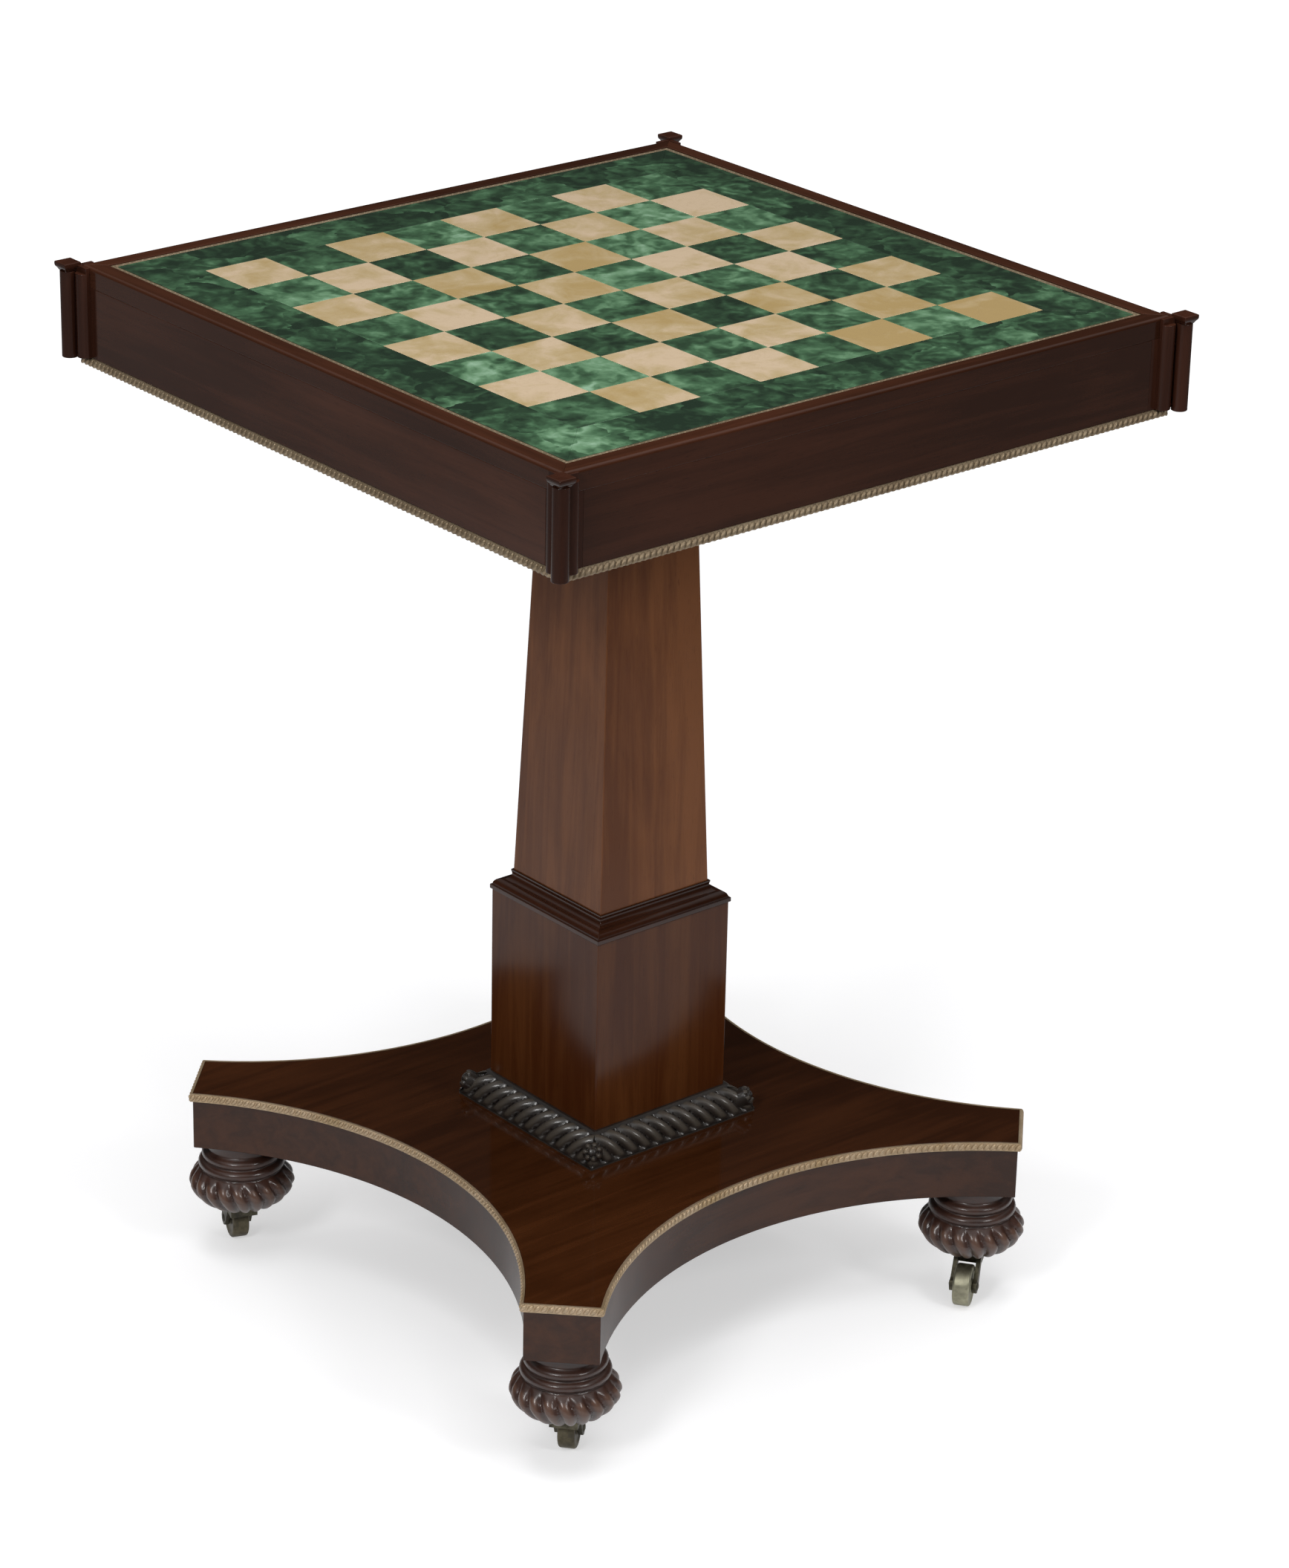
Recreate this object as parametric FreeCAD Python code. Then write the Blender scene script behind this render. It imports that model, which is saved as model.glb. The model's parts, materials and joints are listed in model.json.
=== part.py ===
import FreeCAD, Part
import math
import os

from FreeCAD import Vector

# Pedestal games table: a stone chess top on friezes, a tapered column, a hollow-sided platform and bun
# feet on casters. Lengths are in millimetres. +Z is up, the front is -Y, and the origin is on the floor
# under the column.

# Chess field and its border
SQUARES_ACROSS = 8
SQUARE = 49.0
BORDER_WIDTH = 41.5
STONE_THICKNESS = 4.0
STONE_RECESS = 0.5

# Beading round the stone, and the rim outside it
BOARD_BEAD_WIDTH = 4.5
RIM_WIDTH = 13.0
RIM_HEIGHT = 14.0
RIM_EDGE_RADIUS = 2.5

# Friezes and the beading under them
FRIEZE_THICKNESS = 16.0
FRIEZE_HEIGHT = 49.0
FRIEZE_BEAD_HEIGHT = 6.6
FRIEZE_BEAD_WIDTH = 10.0

# Corner posts: a core between the friezes, a facing that returns along the frieze and the rim, a reed on
# the corner, one on each face, and a flat cap that stands over the rim. The corner reed reaches down a
# little in front of the bead.
FACING_PROUD = 3.0
FACING_RETURN = 10.0
REED_RADIUS = 5.5
CORNER_REED_PROUD = 6.5
CORNER_REED_DROP = 1.5
SIDE_REED_PROUD = 1.5
REED_SPACING = 11.0
REED_FACETS = 10
CAP_WIDTH = 13.0
CAP_NECK_WIDTH = 8.6
CAP_TOP_WIDTH = 11.0
CAP_OVOLO_HEIGHT = 4.5
CAP_EDGE_HEIGHT = 1.0
CAP_RISE = 1.8

# Board under the stone, its corner blocks and the block on top of the column
BOARD_THICKNESS = 18.0
CORNER_BLOCK_WIDTH = 26.0
CORNER_BLOCK_HEIGHT = 30.0
HEAD_WIDTH = 130.0
HEAD_THICKNESS = 22.0
HEAD_BEVEL = 5.0
TENON_WIDTH = 36.0

# Tapered column and the cornice round its foot
SHAFT_LENGTH = 369.5
SHAFT_TOP_WIDTH = 71.0
SHAFT_FOOT_WIDTH = 96.0
CORNICE_WIDTH = 11.6
CORNICE_HEIGHT = 15.5
CORNICE_EDGE = 3.2
CORNICE_STEP = 1.2

# Plinth
PLINTH_LEDGE = 10.5
PLINTH_HEIGHT = 161.5

# Gadrooned moulding round the foot of the plinth, with a stud over each mitre
GADROON_RADIUS = 16.0
GADROON_FILLET = 2.0
GADROON_CORE = 5.0
GADROON_LOBE_WIDTH = 11.6
GADROON_LOBE_DEPTH = 1.8
GADROON_RAKE = 15.0
GADROON_BANDS = 3
STUD_RADIUS = 7.0
STUD_SEAT = 10.0
STUD_DEPTH = 11.5
STUD_CROWN = 1.8
STUD_EYE_RADIUS = 2.8
STUD_LOBES = 7
STUD_LOBE_DEPTH = 0.8
STUD_LIFT = 30.0

# Platform with four hollow sides, and the beading round its top edge
PLATFORM_THICKNESS = 43.5
PLATFORM_WAIST = 149.0
ARM_REACH = 292.0
ARM_END_WIDTH = 51.0
PLATFORM_BEAD_HEIGHT = 6.0
PLATFORM_BEAD_PROUD = 1.6

# Bun feet: a neck with two rings over a flattened bun that is cut with raked lobes
FOOT_INSET = 30.0
NECK_RADIUS = 25.0
NECK_HEIGHT = 9.0
UPPER_RING_RADIUS = 28.5
LOWER_RING_RADIUS = 31.0
RING_ROOT_RADIUS = 27.0
RING_HEIGHT = 7.5
NECK_FACETS = 16
BUN_RADIUS = 37.8
BUN_HEIGHT = 30.0
BUN_LOBES = 20
BUN_LOBE_DEPTH = 1.5
BUN_RAKE = 14.0

# Outline of the bun from its base up, in shares of its radius and height
BUN_SHARES = [(0.40, 0), (0.88, 0.35), (1, 0.60), (0.93, 0.82), (0.77, 1)]

# Casters
WHEEL_RADIUS = 15.0
WHEEL_WIDTH = 12.0
WHEEL_SIDE_GAP = 0.6
WHEEL_HEADROOM = 7.0
CASTER_TRAIL = 18.0
AXLE_RADIUS = 2.5
HORN_ARM_THICKNESS = 3.2
HORN_EYE_RADIUS = 5.5
HORN_EYE_FACETS = 5
HORN_HEAD_REACH = 5.6
HORN_HEAD_HEIGHT = 7.7
PIVOT_RADIUS = 4.0
SOCKET_WIDTH = 20.0
SOCKET_THICKNESS = 2.5
RUNNING_CLEARANCE = 0.05
SWIVEL_CLEARANCE = 0.3

# Angles in degrees. The eye wraps the axle's lower and rear sides. Each caster trails by its own angle
# from +X as the table stands.
FULL_TURN = 360.0
RIGHT_ANGLE = 90.0
HORN_EYE_WRAP = 225.0
CASTER_ANGLES = {"front_left": 40.0, "front_right": 216.0, "back_right": 150.0, "back_left": 69.0}

# Turns that carry a piece made for the front, or for the front left corner, to the other places
SIDES = {"front": 0, "right": RIGHT_ANGLE, "back": 2 * RIGHT_ANGLE, "left": 3 * RIGHT_ANGLE}
CORNERS = dict(zip(("front_left", "front_right", "back_right", "back_left"), SIDES.values()))

# Share of a diagonal's length along each axis, a quarter circle's rise over its chord as a share of its
# radius, and a beading's bevel as a share of its size
DIAGONAL_SHARE = math.sqrt(1 / 2)
QUARTER_RISE_SHARE = 1 - DIAGONAL_SHARE
BEVEL_SHARE = 1 / 4

# Heights from the floor up
FOOT_BOTTOM = 2 * WHEEL_RADIUS + WHEEL_HEADROOM
RINGS_BOTTOM = FOOT_BOTTOM + BUN_HEIGHT
RINGS_MIDDLE = RINGS_BOTTOM + RING_HEIGHT
NECK_BOTTOM = RINGS_MIDDLE + RING_HEIGHT
PLATFORM_BOTTOM = NECK_BOTTOM + NECK_HEIGHT
PLATFORM_TOP = PLATFORM_BOTTOM + PLATFORM_THICKNESS
PLINTH_TOP = PLATFORM_TOP + PLINTH_HEIGHT
CORNICE_TOP = PLINTH_TOP + CORNICE_HEIGHT
HEAD_BOTTOM = CORNICE_TOP + SHAFT_LENGTH
BOARD_BOTTOM = HEAD_BOTTOM + HEAD_THICKNESS
BOARD_TOP = BOARD_BOTTOM + BOARD_THICKNESS
FRIEZE_BOTTOM = BOARD_TOP - FRIEZE_HEIGHT
FRIEZE_BEAD_BOTTOM = FRIEZE_BOTTOM - FRIEZE_BEAD_HEIGHT
RIM_TOP = BOARD_TOP + RIM_HEIGHT
CAP_BOTTOM = RIM_TOP - CAP_OVOLO_HEIGHT
STONE_TOP = RIM_TOP - STONE_RECESS
STONE_BOTTOM = STONE_TOP - STONE_THICKNESS
SOCKET_BOTTOM = FOOT_BOTTOM - SOCKET_THICKNESS
HORN_TOP = SOCKET_BOTTOM - SWIVEL_CLEARANCE
HORN_BOTTOM = HORN_TOP - HORN_HEAD_HEIGHT

# Half widths from the middle outwards
HALF_FIELD = SQUARES_ACROSS * SQUARE / 2
HALF_STONE = HALF_FIELD + BORDER_WIDTH
HALF_BED = HALF_STONE + BOARD_BEAD_WIDTH
HALF_TOP = HALF_BED + RIM_WIDTH
HALF_INSIDE = HALF_TOP - FRIEZE_THICKNESS
HALF_FACED = HALF_TOP - FACING_RETURN
HALF_SHAFT_FOOT = SHAFT_FOOT_WIDTH / 2
HALF_PLINTH = HALF_SHAFT_FOOT + PLINTH_LEDGE

# Corners of a hollow side, and the radius of the arc between them
ARM_NEAR = (ARM_REACH - ARM_END_WIDTH / 2) * DIAGONAL_SHARE
ARM_FAR = (ARM_REACH + ARM_END_WIDTH / 2) * DIAGONAL_SHARE
PLATFORM_HOLLOW = ARM_FAR - PLATFORM_WAIST
PLATFORM_CURVE = (ARM_NEAR ** 2 + PLATFORM_HOLLOW ** 2) / (2 * PLATFORM_HOLLOW)

# Each foot's axis from the middle, along both axes
FOOT_AXIS = (ARM_REACH - FOOT_INSET) * DIAGONAL_SHARE


def flat(x, y):
    """A point of a plan."""
    return Vector(x, y, 0)


def across(out, up):
    """A point of a front moulding's section: out from the middle of the table, and up."""
    return Vector(0, -out, up)


def outline(points, place):
    """Closed wire through the points. A third number is the rise, to the left, of an arc to that point."""
    edges = []
    for before, after in zip(points, points[1:] + points[:1]):
        start = place(*before[:2])
        end = place(*after[:2])
        if len(after) == 2:
            edges.append(Part.LineSegment(start, end).toShape())
            continue
        run = after[0] - before[0]
        climb = after[1] - before[1]
        share = after[2] / math.hypot(run, climb)
        middle = place((before[0] + after[0]) / 2 - climb * share, (before[1] + after[1]) / 2 + run * share)
        edges.append(Part.Arc(start, middle, end).toShape())
    return Part.Wire(edges)


def box(low, high):
    size = high - low
    return Part.makeBox(size.x, size.y, size.z, low)


def centred_block(width, bottom, top):
    """Square block on the column's axis."""
    half = width / 2
    return box(Vector(-half, -half, bottom), Vector(half, half, top))


def cylinder(radius, bottom, top):
    return Part.makeCylinder(radius, top - bottom, Vector(0, 0, bottom))


def prism(points, bottom, top):
    """Plan drawn up from one height to another."""
    solid = Part.Face(outline(points, flat)).extrude(Vector(0, 0, top - bottom))
    solid.translate(Vector(0, 0, bottom))
    return solid


def turned(profile, angle=FULL_TURN):
    """Profile of radii and heights, turned about the Z axis from +X."""
    face = Part.Face(outline(profile, lambda radius, height: Vector(radius, 0, height)))
    return face.revolve(Vector(0, 0, 0), Vector(0, 0, 1), angle)


def rotated(shape, angle):
    """Copy turned about the Z axis."""
    copy = shape.copy()
    copy.rotate(Vector(0, 0, 0), Vector(0, 0, 1), angle)
    return copy


def all_round(shape):
    """The shape at each of the four places, as separate solids in one group."""
    return Part.makeCompound([rotated(shape, angle) for angle in SIDES.values()])


def along_front(section, half_length):
    """Section of a front moulding, run to both sides of the middle."""
    face = Part.Face(outline(section, across))
    face.translate(Vector(-half_length, 0, 0))
    return face.extrude(Vector(2 * half_length, 0, 0))


def mitre_wedge(reach):
    """The quarter of the table's plan that lies to the front."""
    return prism([(0, 0), (-reach, -reach), (reach, -reach)], 0, RIM_TOP)


def mitred(section):
    """Section run along the front, with both ends mitred at the diagonals."""
    reach = -Part.Face(outline(section, across)).BoundBox.YMin
    return along_front(section, reach).common(mitre_wedge(reach))


def flat_face(points):
    return Part.Face(Part.makePolygon(points + points[:1]))


def ringed(rings, twisted=True):
    """Solid of flat facets between rings of equally many points, closed by its first and last ring."""
    faces = [flat_face(rings[0]), flat_face(rings[-1])]
    for low, high in zip(rings, rings[1:]):
        for a, b, c, d in zip(low, low[1:] + low[:1], high[1:] + high[:1], high):
            facets = [[a, b, c], [a, c, d]] if twisted else [[a, b, c, d]]
            faces += [flat_face(points) for points in facets]
    return Part.Solid(Part.Shell(faces))


def ring(count, radius, height, turn=0.0, depth=0.0):
    """Points round the Z axis, turned by some degrees, with every second one set back by the depth."""
    points = []
    for step in range(count):
        angle = math.radians(turn + FULL_TURN * step / count)
        reach = radius - depth * (step % 2)
        points.append(Vector(reach * math.cos(angle), reach * math.sin(angle), height))
    return points


def square_ring(width, height):
    """Corners of a square round the Z axis."""
    half = width / 2
    return [Vector(x, y, height) for x, y in ((-half, -half), (half, -half), (half, half), (-half, half))]


def tapered(squares):
    """Solid with flat sides between squares, each a width and a height, from the bottom up."""
    return ringed([square_ring(width, height) for width, height in squares], twisted=False)


def write(name, shape):
    shape.exportStep("parts/" + name + ".step")


def write_places(name, shape, places):
    for place, angle in places.items():
        write(name + "_" + place, rotated(shape, angle))


# Top

def chess_squares(parity):
    """The squares of one colour. Parity 0 has the squares at the field's near left and far right corners."""
    corner = Vector(-HALF_FIELD, -HALF_FIELD, STONE_BOTTOM)
    squares = []
    for row in range(SQUARES_ACROSS):
        for column in range(SQUARES_ACROSS):
            if (row + column) % 2 == parity:
                low = corner + Vector(column * SQUARE, row * SQUARE, 0)
                squares.append(box(low, low + Vector(SQUARE, SQUARE, STONE_THICKNESS)))
    return Part.makeCompound(squares)


def malachite_border():
    """Strip of the stone outside the front of the chess field."""
    section = [
        (HALF_FIELD, STONE_BOTTOM),
        (HALF_STONE, STONE_BOTTOM),
        (HALF_STONE, STONE_TOP),
        (HALF_FIELD, STONE_TOP),
    ]
    return mitred(section)


def slate_bed():
    return centred_block(2 * HALF_BED, BOARD_TOP, STONE_BOTTOM)


def board_bead():
    """Strips with bevelled edges between the stone and the rim."""
    bevel = BOARD_BEAD_WIDTH * BEVEL_SHARE
    section = [
        (HALF_STONE, STONE_BOTTOM),
        (HALF_BED, STONE_BOTTOM),
        (HALF_BED, STONE_TOP - bevel),
        (HALF_BED - bevel, STONE_TOP),
        (HALF_STONE + bevel, STONE_TOP),
        (HALF_STONE, STONE_TOP - bevel),
    ]
    return all_round(mitred(section))


def rim():
    """Edge rail with a rounded outer edge."""
    section = [
        (HALF_BED, BOARD_TOP),
        (HALF_TOP, BOARD_TOP),
        (HALF_TOP, RIM_TOP - RIM_EDGE_RADIUS),
        (HALF_TOP - RIM_EDGE_RADIUS, RIM_TOP, -RIM_EDGE_RADIUS * QUARTER_RISE_SHARE),
        (HALF_BED, RIM_TOP),
    ]
    return mitred(section)


def frieze():
    """Board between two corner posts."""
    section = [
        (HALF_INSIDE, FRIEZE_BOTTOM),
        (HALF_TOP, FRIEZE_BOTTOM),
        (HALF_TOP, BOARD_TOP),
        (HALF_INSIDE, BOARD_TOP),
    ]
    return along_front(section, HALF_INSIDE)


def frieze_bead():
    """Strips under friezes and posts, bevelled on the outside and mitred behind the corner reeds."""
    outer = HALF_TOP + CORNER_REED_PROUD - REED_RADIUS
    bevel = FRIEZE_BEAD_HEIGHT * BEVEL_SHARE
    section = [
        (outer - FRIEZE_BEAD_WIDTH, FRIEZE_BEAD_BOTTOM),
        (outer - bevel, FRIEZE_BEAD_BOTTOM),
        (outer, FRIEZE_BEAD_BOTTOM + bevel),
        (outer, FRIEZE_BOTTOM - bevel),
        (outer - bevel, FRIEZE_BOTTOM),
        (outer - FRIEZE_BEAD_WIDTH, FRIEZE_BOTTOM),
    ]
    return all_round(mitred(section))


def post_reed(out_x, out_y, bottom):
    ends = [ring(REED_FACETS, REED_RADIUS, height) for height in (bottom, CAP_BOTTOM)]
    reed = ringed(ends, twisted=False)
    reed.translate(Vector(-out_x, -out_y, 0))
    return reed


def post_cap():
    """Small square cap that swells from the corner reed to an edge and slopes in again above the rim."""
    cap = tapered([
        (CAP_NECK_WIDTH, CAP_BOTTOM),
        (CAP_WIDTH, RIM_TOP),
        (CAP_WIDTH, RIM_TOP + CAP_EDGE_HEIGHT),
        (CAP_TOP_WIDTH, RIM_TOP + CAP_RISE),
    ])
    centre = HALF_TOP + CAP_WIDTH / 2
    cap.translate(Vector(-centre, -centre, 0))
    return cap


def corner_post():
    """Front left post, which closes the corner between two friezes."""
    outside = -HALF_TOP - FACING_PROUD
    core = box(Vector(-HALF_TOP, -HALF_TOP, FRIEZE_BOTTOM), Vector(-HALF_INSIDE, -HALF_INSIDE, BOARD_TOP))
    facing = box(Vector(outside, outside, FRIEZE_BOTTOM), Vector(-HALF_FACED, -HALF_FACED, RIM_TOP))
    corner = HALF_TOP + CORNER_REED_PROUD
    face = HALF_TOP + SIDE_REED_PROUD
    side_reeds = [
        post_reed(face, corner - REED_SPACING, FRIEZE_BOTTOM),
        post_reed(corner - REED_SPACING, face, FRIEZE_BOTTOM),
    ]
    pieces = [
        facing.fuse(side_reeds).cut(centred_block(2 * HALF_TOP, BOARD_TOP, RIM_TOP)),
        post_reed(corner, corner, FRIEZE_BOTTOM - CORNER_REED_DROP),
        post_cap(),
    ]
    return core.fuse(pieces)


# Board, column and plinth

def top_board():
    return centred_block(2 * HALF_INSIDE, BOARD_BOTTOM, BOARD_TOP)


def frieze_corner_blocks():
    """Three-cornered glue blocks in the angles under the board."""
    inside = -HALF_INSIDE
    points = [(inside, inside), (inside + CORNER_BLOCK_WIDTH, inside), (inside, inside + CORNER_BLOCK_WIDTH)]
    return all_round(prism(points, BOARD_BOTTOM - CORNER_BLOCK_HEIGHT, BOARD_BOTTOM))


def column_head():
    """Block with its lower edges bevelled, mortised for the column's tenon."""
    block = tapered([
        (HEAD_WIDTH - 2 * HEAD_BEVEL, HEAD_BOTTOM),
        (HEAD_WIDTH, HEAD_BOTTOM + HEAD_BEVEL),
        (HEAD_WIDTH, BOARD_BOTTOM),
    ])
    return block.cut(centred_block(TENON_WIDTH, HEAD_BOTTOM, BOARD_BOTTOM))


def column_shaft():
    """Square foot inside the cornice, tapered shaft, and a tenon for the head."""
    shaft = tapered([
        (SHAFT_FOOT_WIDTH, PLINTH_TOP),
        (SHAFT_FOOT_WIDTH, CORNICE_TOP),
        (SHAFT_TOP_WIDTH, HEAD_BOTTOM),
    ])
    return shaft.fuse(centred_block(TENON_WIDTH, HEAD_BOTTOM, BOARD_BOTTOM))


def cornice():
    """Square edge, ovolo, fillet and cavetto, rising to the column's face."""
    outer = HALF_SHAFT_FOOT + CORNICE_WIDTH
    middle = HALF_SHAFT_FOOT + CORNICE_WIDTH / 2
    edge_top = PLINTH_TOP + CORNICE_EDGE
    middle_height = PLINTH_TOP + CORNICE_HEIGHT / 2
    ovolo = middle_height - edge_top
    cavetto = CORNICE_TOP - CORNICE_STEP - middle_height
    section = [
        (HALF_SHAFT_FOOT, PLINTH_TOP),
        (outer, PLINTH_TOP),
        (outer, edge_top),
        (outer - CORNICE_STEP, edge_top),
        (middle, middle_height, -ovolo * QUARTER_RISE_SHARE),
        (middle - CORNICE_STEP, middle_height),
        (HALF_SHAFT_FOOT + CORNICE_STEP, CORNICE_TOP - CORNICE_STEP, cavetto * QUARTER_RISE_SHARE),
        (HALF_SHAFT_FOOT + CORNICE_STEP, CORNICE_TOP),
        (HALF_SHAFT_FOOT, CORNICE_TOP),
    ]
    return mitred(section)


def plinth():
    return centred_block(2 * HALF_PLINTH, PLATFORM_TOP, PLINTH_TOP)


# Gadrooned moulding

def lobed_row(half_length, lean, rake):
    """Points of a row of lobes along the front, in a plane that leans up about the quarter round's axis.
    The row shifts sideways as it leans, by up to the rake."""
    lobes = math.ceil(2 * half_length / GADROON_LOBE_WIDTH)
    row = [(half_length, GADROON_CORE), (-half_length, GADROON_CORE)]
    for step in range(2 * lobes + 1):
        run = GADROON_LOBE_WIDTH * (step - lobes) / 2 + rake * (lean / RIGHT_ANGLE - 1 / 2)
        row.append((run, GADROON_RADIUS - GADROON_LOBE_DEPTH * ((step + 1) % 2)))
    out_share = math.cos(math.radians(lean))
    up_share = math.sin(math.radians(lean))
    axis_height = PLATFORM_TOP + GADROON_FILLET
    return [Vector(run, -HALF_PLINTH - out * out_share, axis_height + out * up_share) for run, out in row]


def lean_out(shape):
    """Carries a shape made on the Z axis to the plinth's front left foot, leaning outwards."""
    shape.rotate(Vector(0, 0, 0), Vector(1, 0, 0), RIGHT_ANGLE - STUD_LIFT)
    shape.rotate(Vector(0, 0, 0), Vector(0, 0, 1), -RIGHT_ANGLE / 2)
    shape.translate(Vector(-HALF_PLINTH, -HALF_PLINTH, PLATFORM_TOP + GADROON_FILLET))
    return shape


def stud(crown_bottom, eye_radius):
    """Lobed drum over a mitre of the moulding, with a crown that draws in to its eye."""
    sizes = [(STUD_RADIUS, STUD_SEAT), (STUD_RADIUS, crown_bottom), (eye_radius, crown_bottom + STUD_CROWN)]
    return lean_out(ringed([
        ring(2 * STUD_LOBES, radius, height, depth=STUD_LOBE_DEPTH) for radius, height in sizes
    ]))


def gadroon_studs():
    return all_round(stud(STUD_SEAT + STUD_DEPTH, STUD_EYE_RADIUS))


def gadroon(rake):
    """Quarter round of raked lobes between two fillets, mitred, and bored at both ends for the studs."""
    half_length = HALF_PLINTH + GADROON_RADIUS
    leans = [RIGHT_ANGLE * band / GADROON_BANDS for band in range(GADROON_BANDS + 1)]
    lobes = ringed([lobed_row(half_length + abs(rake) / 2, lean, rake) for lean in leans])
    low = PLATFORM_TOP + GADROON_FILLET
    high = low + GADROON_RADIUS
    back = [
        (HALF_PLINTH, PLATFORM_TOP),
        (HALF_PLINTH + GADROON_RADIUS - GADROON_LOBE_DEPTH, PLATFORM_TOP),
        (HALF_PLINTH + GADROON_RADIUS - GADROON_LOBE_DEPTH, low),
        (HALF_PLINTH + GADROON_CORE, low),
        (HALF_PLINTH + GADROON_FILLET, low + GADROON_CORE),
        (HALF_PLINTH + GADROON_FILLET, high + GADROON_FILLET),
        (HALF_PLINTH, high + GADROON_FILLET),
    ]
    length = lobes.fuse(along_front(back, half_length)).common(mitre_wedge(half_length))
    return length.cut(all_round(stud(2 * HALF_PLINTH, STUD_RADIUS)))


def write_gadroons():
    """The lobes of neighbouring sides rake opposite ways, so that they mirror each other at every corner."""
    for place, angle in SIDES.items():
        rake = -GADROON_RAKE if place in ("front", "back") else GADROON_RAKE
        write("gadroon_" + place, rotated(gadroon(rake), angle))


# Platform

def platform():
    """Slab with four hollow sides between square-ended arms on the diagonals."""
    points = []
    for angle in SIDES.values():
        left = rotated(Part.Vertex(-ARM_NEAR, -ARM_FAR, 0), angle)
        right = rotated(Part.Vertex(ARM_NEAR, -ARM_FAR, 0), angle)
        points.append((left.X, left.Y))
        points.append((right.X, right.Y, PLATFORM_HOLLOW))
    return prism(points, PLATFORM_BOTTOM, PLATFORM_TOP)


def platform_side_bead():
    """Strips planted on the hollow sides, each turned about the centre of its curve."""
    section = [
        (PLATFORM_CURVE - PLATFORM_BEAD_PROUD, PLATFORM_TOP - PLATFORM_BEAD_HEIGHT),
        (PLATFORM_CURVE, PLATFORM_TOP - PLATFORM_BEAD_HEIGHT),
        (PLATFORM_CURVE, PLATFORM_TOP),
        (PLATFORM_CURVE - PLATFORM_BEAD_PROUD, PLATFORM_TOP),
    ]
    half_angle = math.degrees(math.asin(ARM_NEAR / PLATFORM_CURVE))
    bead = rotated(turned(section, 2 * half_angle), RIGHT_ANGLE - half_angle)
    bead.translate(Vector(0, -PLATFORM_WAIST - PLATFORM_CURVE, 0))
    return all_round(bead)


def platform_end_bead():
    """Strips across the arms' ends, past the ends of the side strips."""
    section = [
        (ARM_REACH, PLATFORM_TOP - PLATFORM_BEAD_HEIGHT),
        (ARM_REACH + PLATFORM_BEAD_PROUD, PLATFORM_TOP - PLATFORM_BEAD_HEIGHT),
        (ARM_REACH + PLATFORM_BEAD_PROUD, PLATFORM_TOP),
        (ARM_REACH, PLATFORM_TOP),
    ]
    bead = along_front(section, ARM_END_WIDTH / 2 + PLATFORM_BEAD_PROUD)
    return all_round(rotated(bead, RIGHT_ANGLE / 2))


# Feet and casters

def to_foot_axis(shape):
    """Carries a shape made on the Z axis to the front left foot's axis."""
    shape.translate(Vector(-FOOT_AXIS, -FOOT_AXIS, 0))
    return shape


def foot():
    """Neck with two rings over the lobed bun, in one piece."""
    bun = []
    for radius_share, height_share in BUN_SHARES:
        depth = BUN_LOBE_DEPTH * radius_share
        height = FOOT_BOTTOM + BUN_HEIGHT * height_share
        bun.append(ring(2 * BUN_LOBES, BUN_RADIUS * radius_share, height, BUN_RAKE * height_share, depth))
    neck = [
        (RING_ROOT_RADIUS, RINGS_BOTTOM),
        (LOWER_RING_RADIUS, RINGS_BOTTOM + RING_HEIGHT / 2),
        (RING_ROOT_RADIUS, RINGS_MIDDLE),
        (UPPER_RING_RADIUS, RINGS_MIDDLE + RING_HEIGHT / 2),
        (NECK_RADIUS, NECK_BOTTOM),
        (NECK_RADIUS, PLATFORM_BOTTOM),
    ]
    neck = ringed([ring(NECK_FACETS, radius, height) for radius, height in neck], twisted=False)
    return to_foot_axis(ringed(bun).fuse(neck))


def caster_sockets():
    """Square plates under the feet, each with the pivot pin that its horn swivels on."""
    plate = centred_block(SOCKET_WIDTH, SOCKET_BOTTOM, FOOT_BOTTOM)
    return all_round(to_foot_axis(plate.fuse(cylinder(PIVOT_RADIUS, HORN_BOTTOM, SOCKET_BOTTOM))))


def caster_horn():
    """Fork that trails along +X from its head, with its riveted axle."""
    inner = WHEEL_WIDTH / 2 + WHEEL_SIDE_GAP
    outer = inner + HORN_ARM_THICKNESS
    eye = Vector(CASTER_TRAIL, -outer, WHEEL_RADIUS)
    side = [
        Vector(-HORN_HEAD_REACH, -outer, HORN_TOP),
        Vector(-HORN_HEAD_REACH, -outer, HORN_BOTTOM),
        Vector(HORN_HEAD_REACH, -outer, HORN_BOTTOM),
    ]
    for step in range(HORN_EYE_FACETS + 1):
        angle = math.radians(RIGHT_ANGLE - HORN_EYE_WRAP * (1 - step / HORN_EYE_FACETS))
        side.append(eye + Vector(math.cos(angle), 0, math.sin(angle)) * HORN_EYE_RADIUS)
    side.append(Vector(HORN_HEAD_REACH, -outer, HORN_TOP))
    fork = flat_face(side).extrude(Vector(0, 2 * outer, 0))
    slot = box(Vector(HORN_HEAD_REACH, -inner, 0), Vector(CASTER_TRAIL + WHEEL_RADIUS, inner, HORN_TOP))
    bore = cylinder(PIVOT_RADIUS + RUNNING_CLEARANCE, HORN_BOTTOM, HORN_TOP)
    axle = Part.makeCylinder(AXLE_RADIUS, 2 * outer, eye, Vector(0, 1, 0))
    return fork.cut([slot, bore]).fuse(axle).removeSplitter()


def caster_wheel():
    """Solid roller, bored for its axle, behind the swivel's axis."""
    half = WHEEL_WIDTH / 2
    wheel = cylinder(WHEEL_RADIUS, -half, half).cut(cylinder(AXLE_RADIUS + RUNNING_CLEARANCE, -half, half))
    wheel.rotate(Vector(0, 0, 0), Vector(1, 0, 0), RIGHT_ANGLE)
    wheel.translate(Vector(CASTER_TRAIL, 0, WHEEL_RADIUS))
    return wheel


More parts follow.
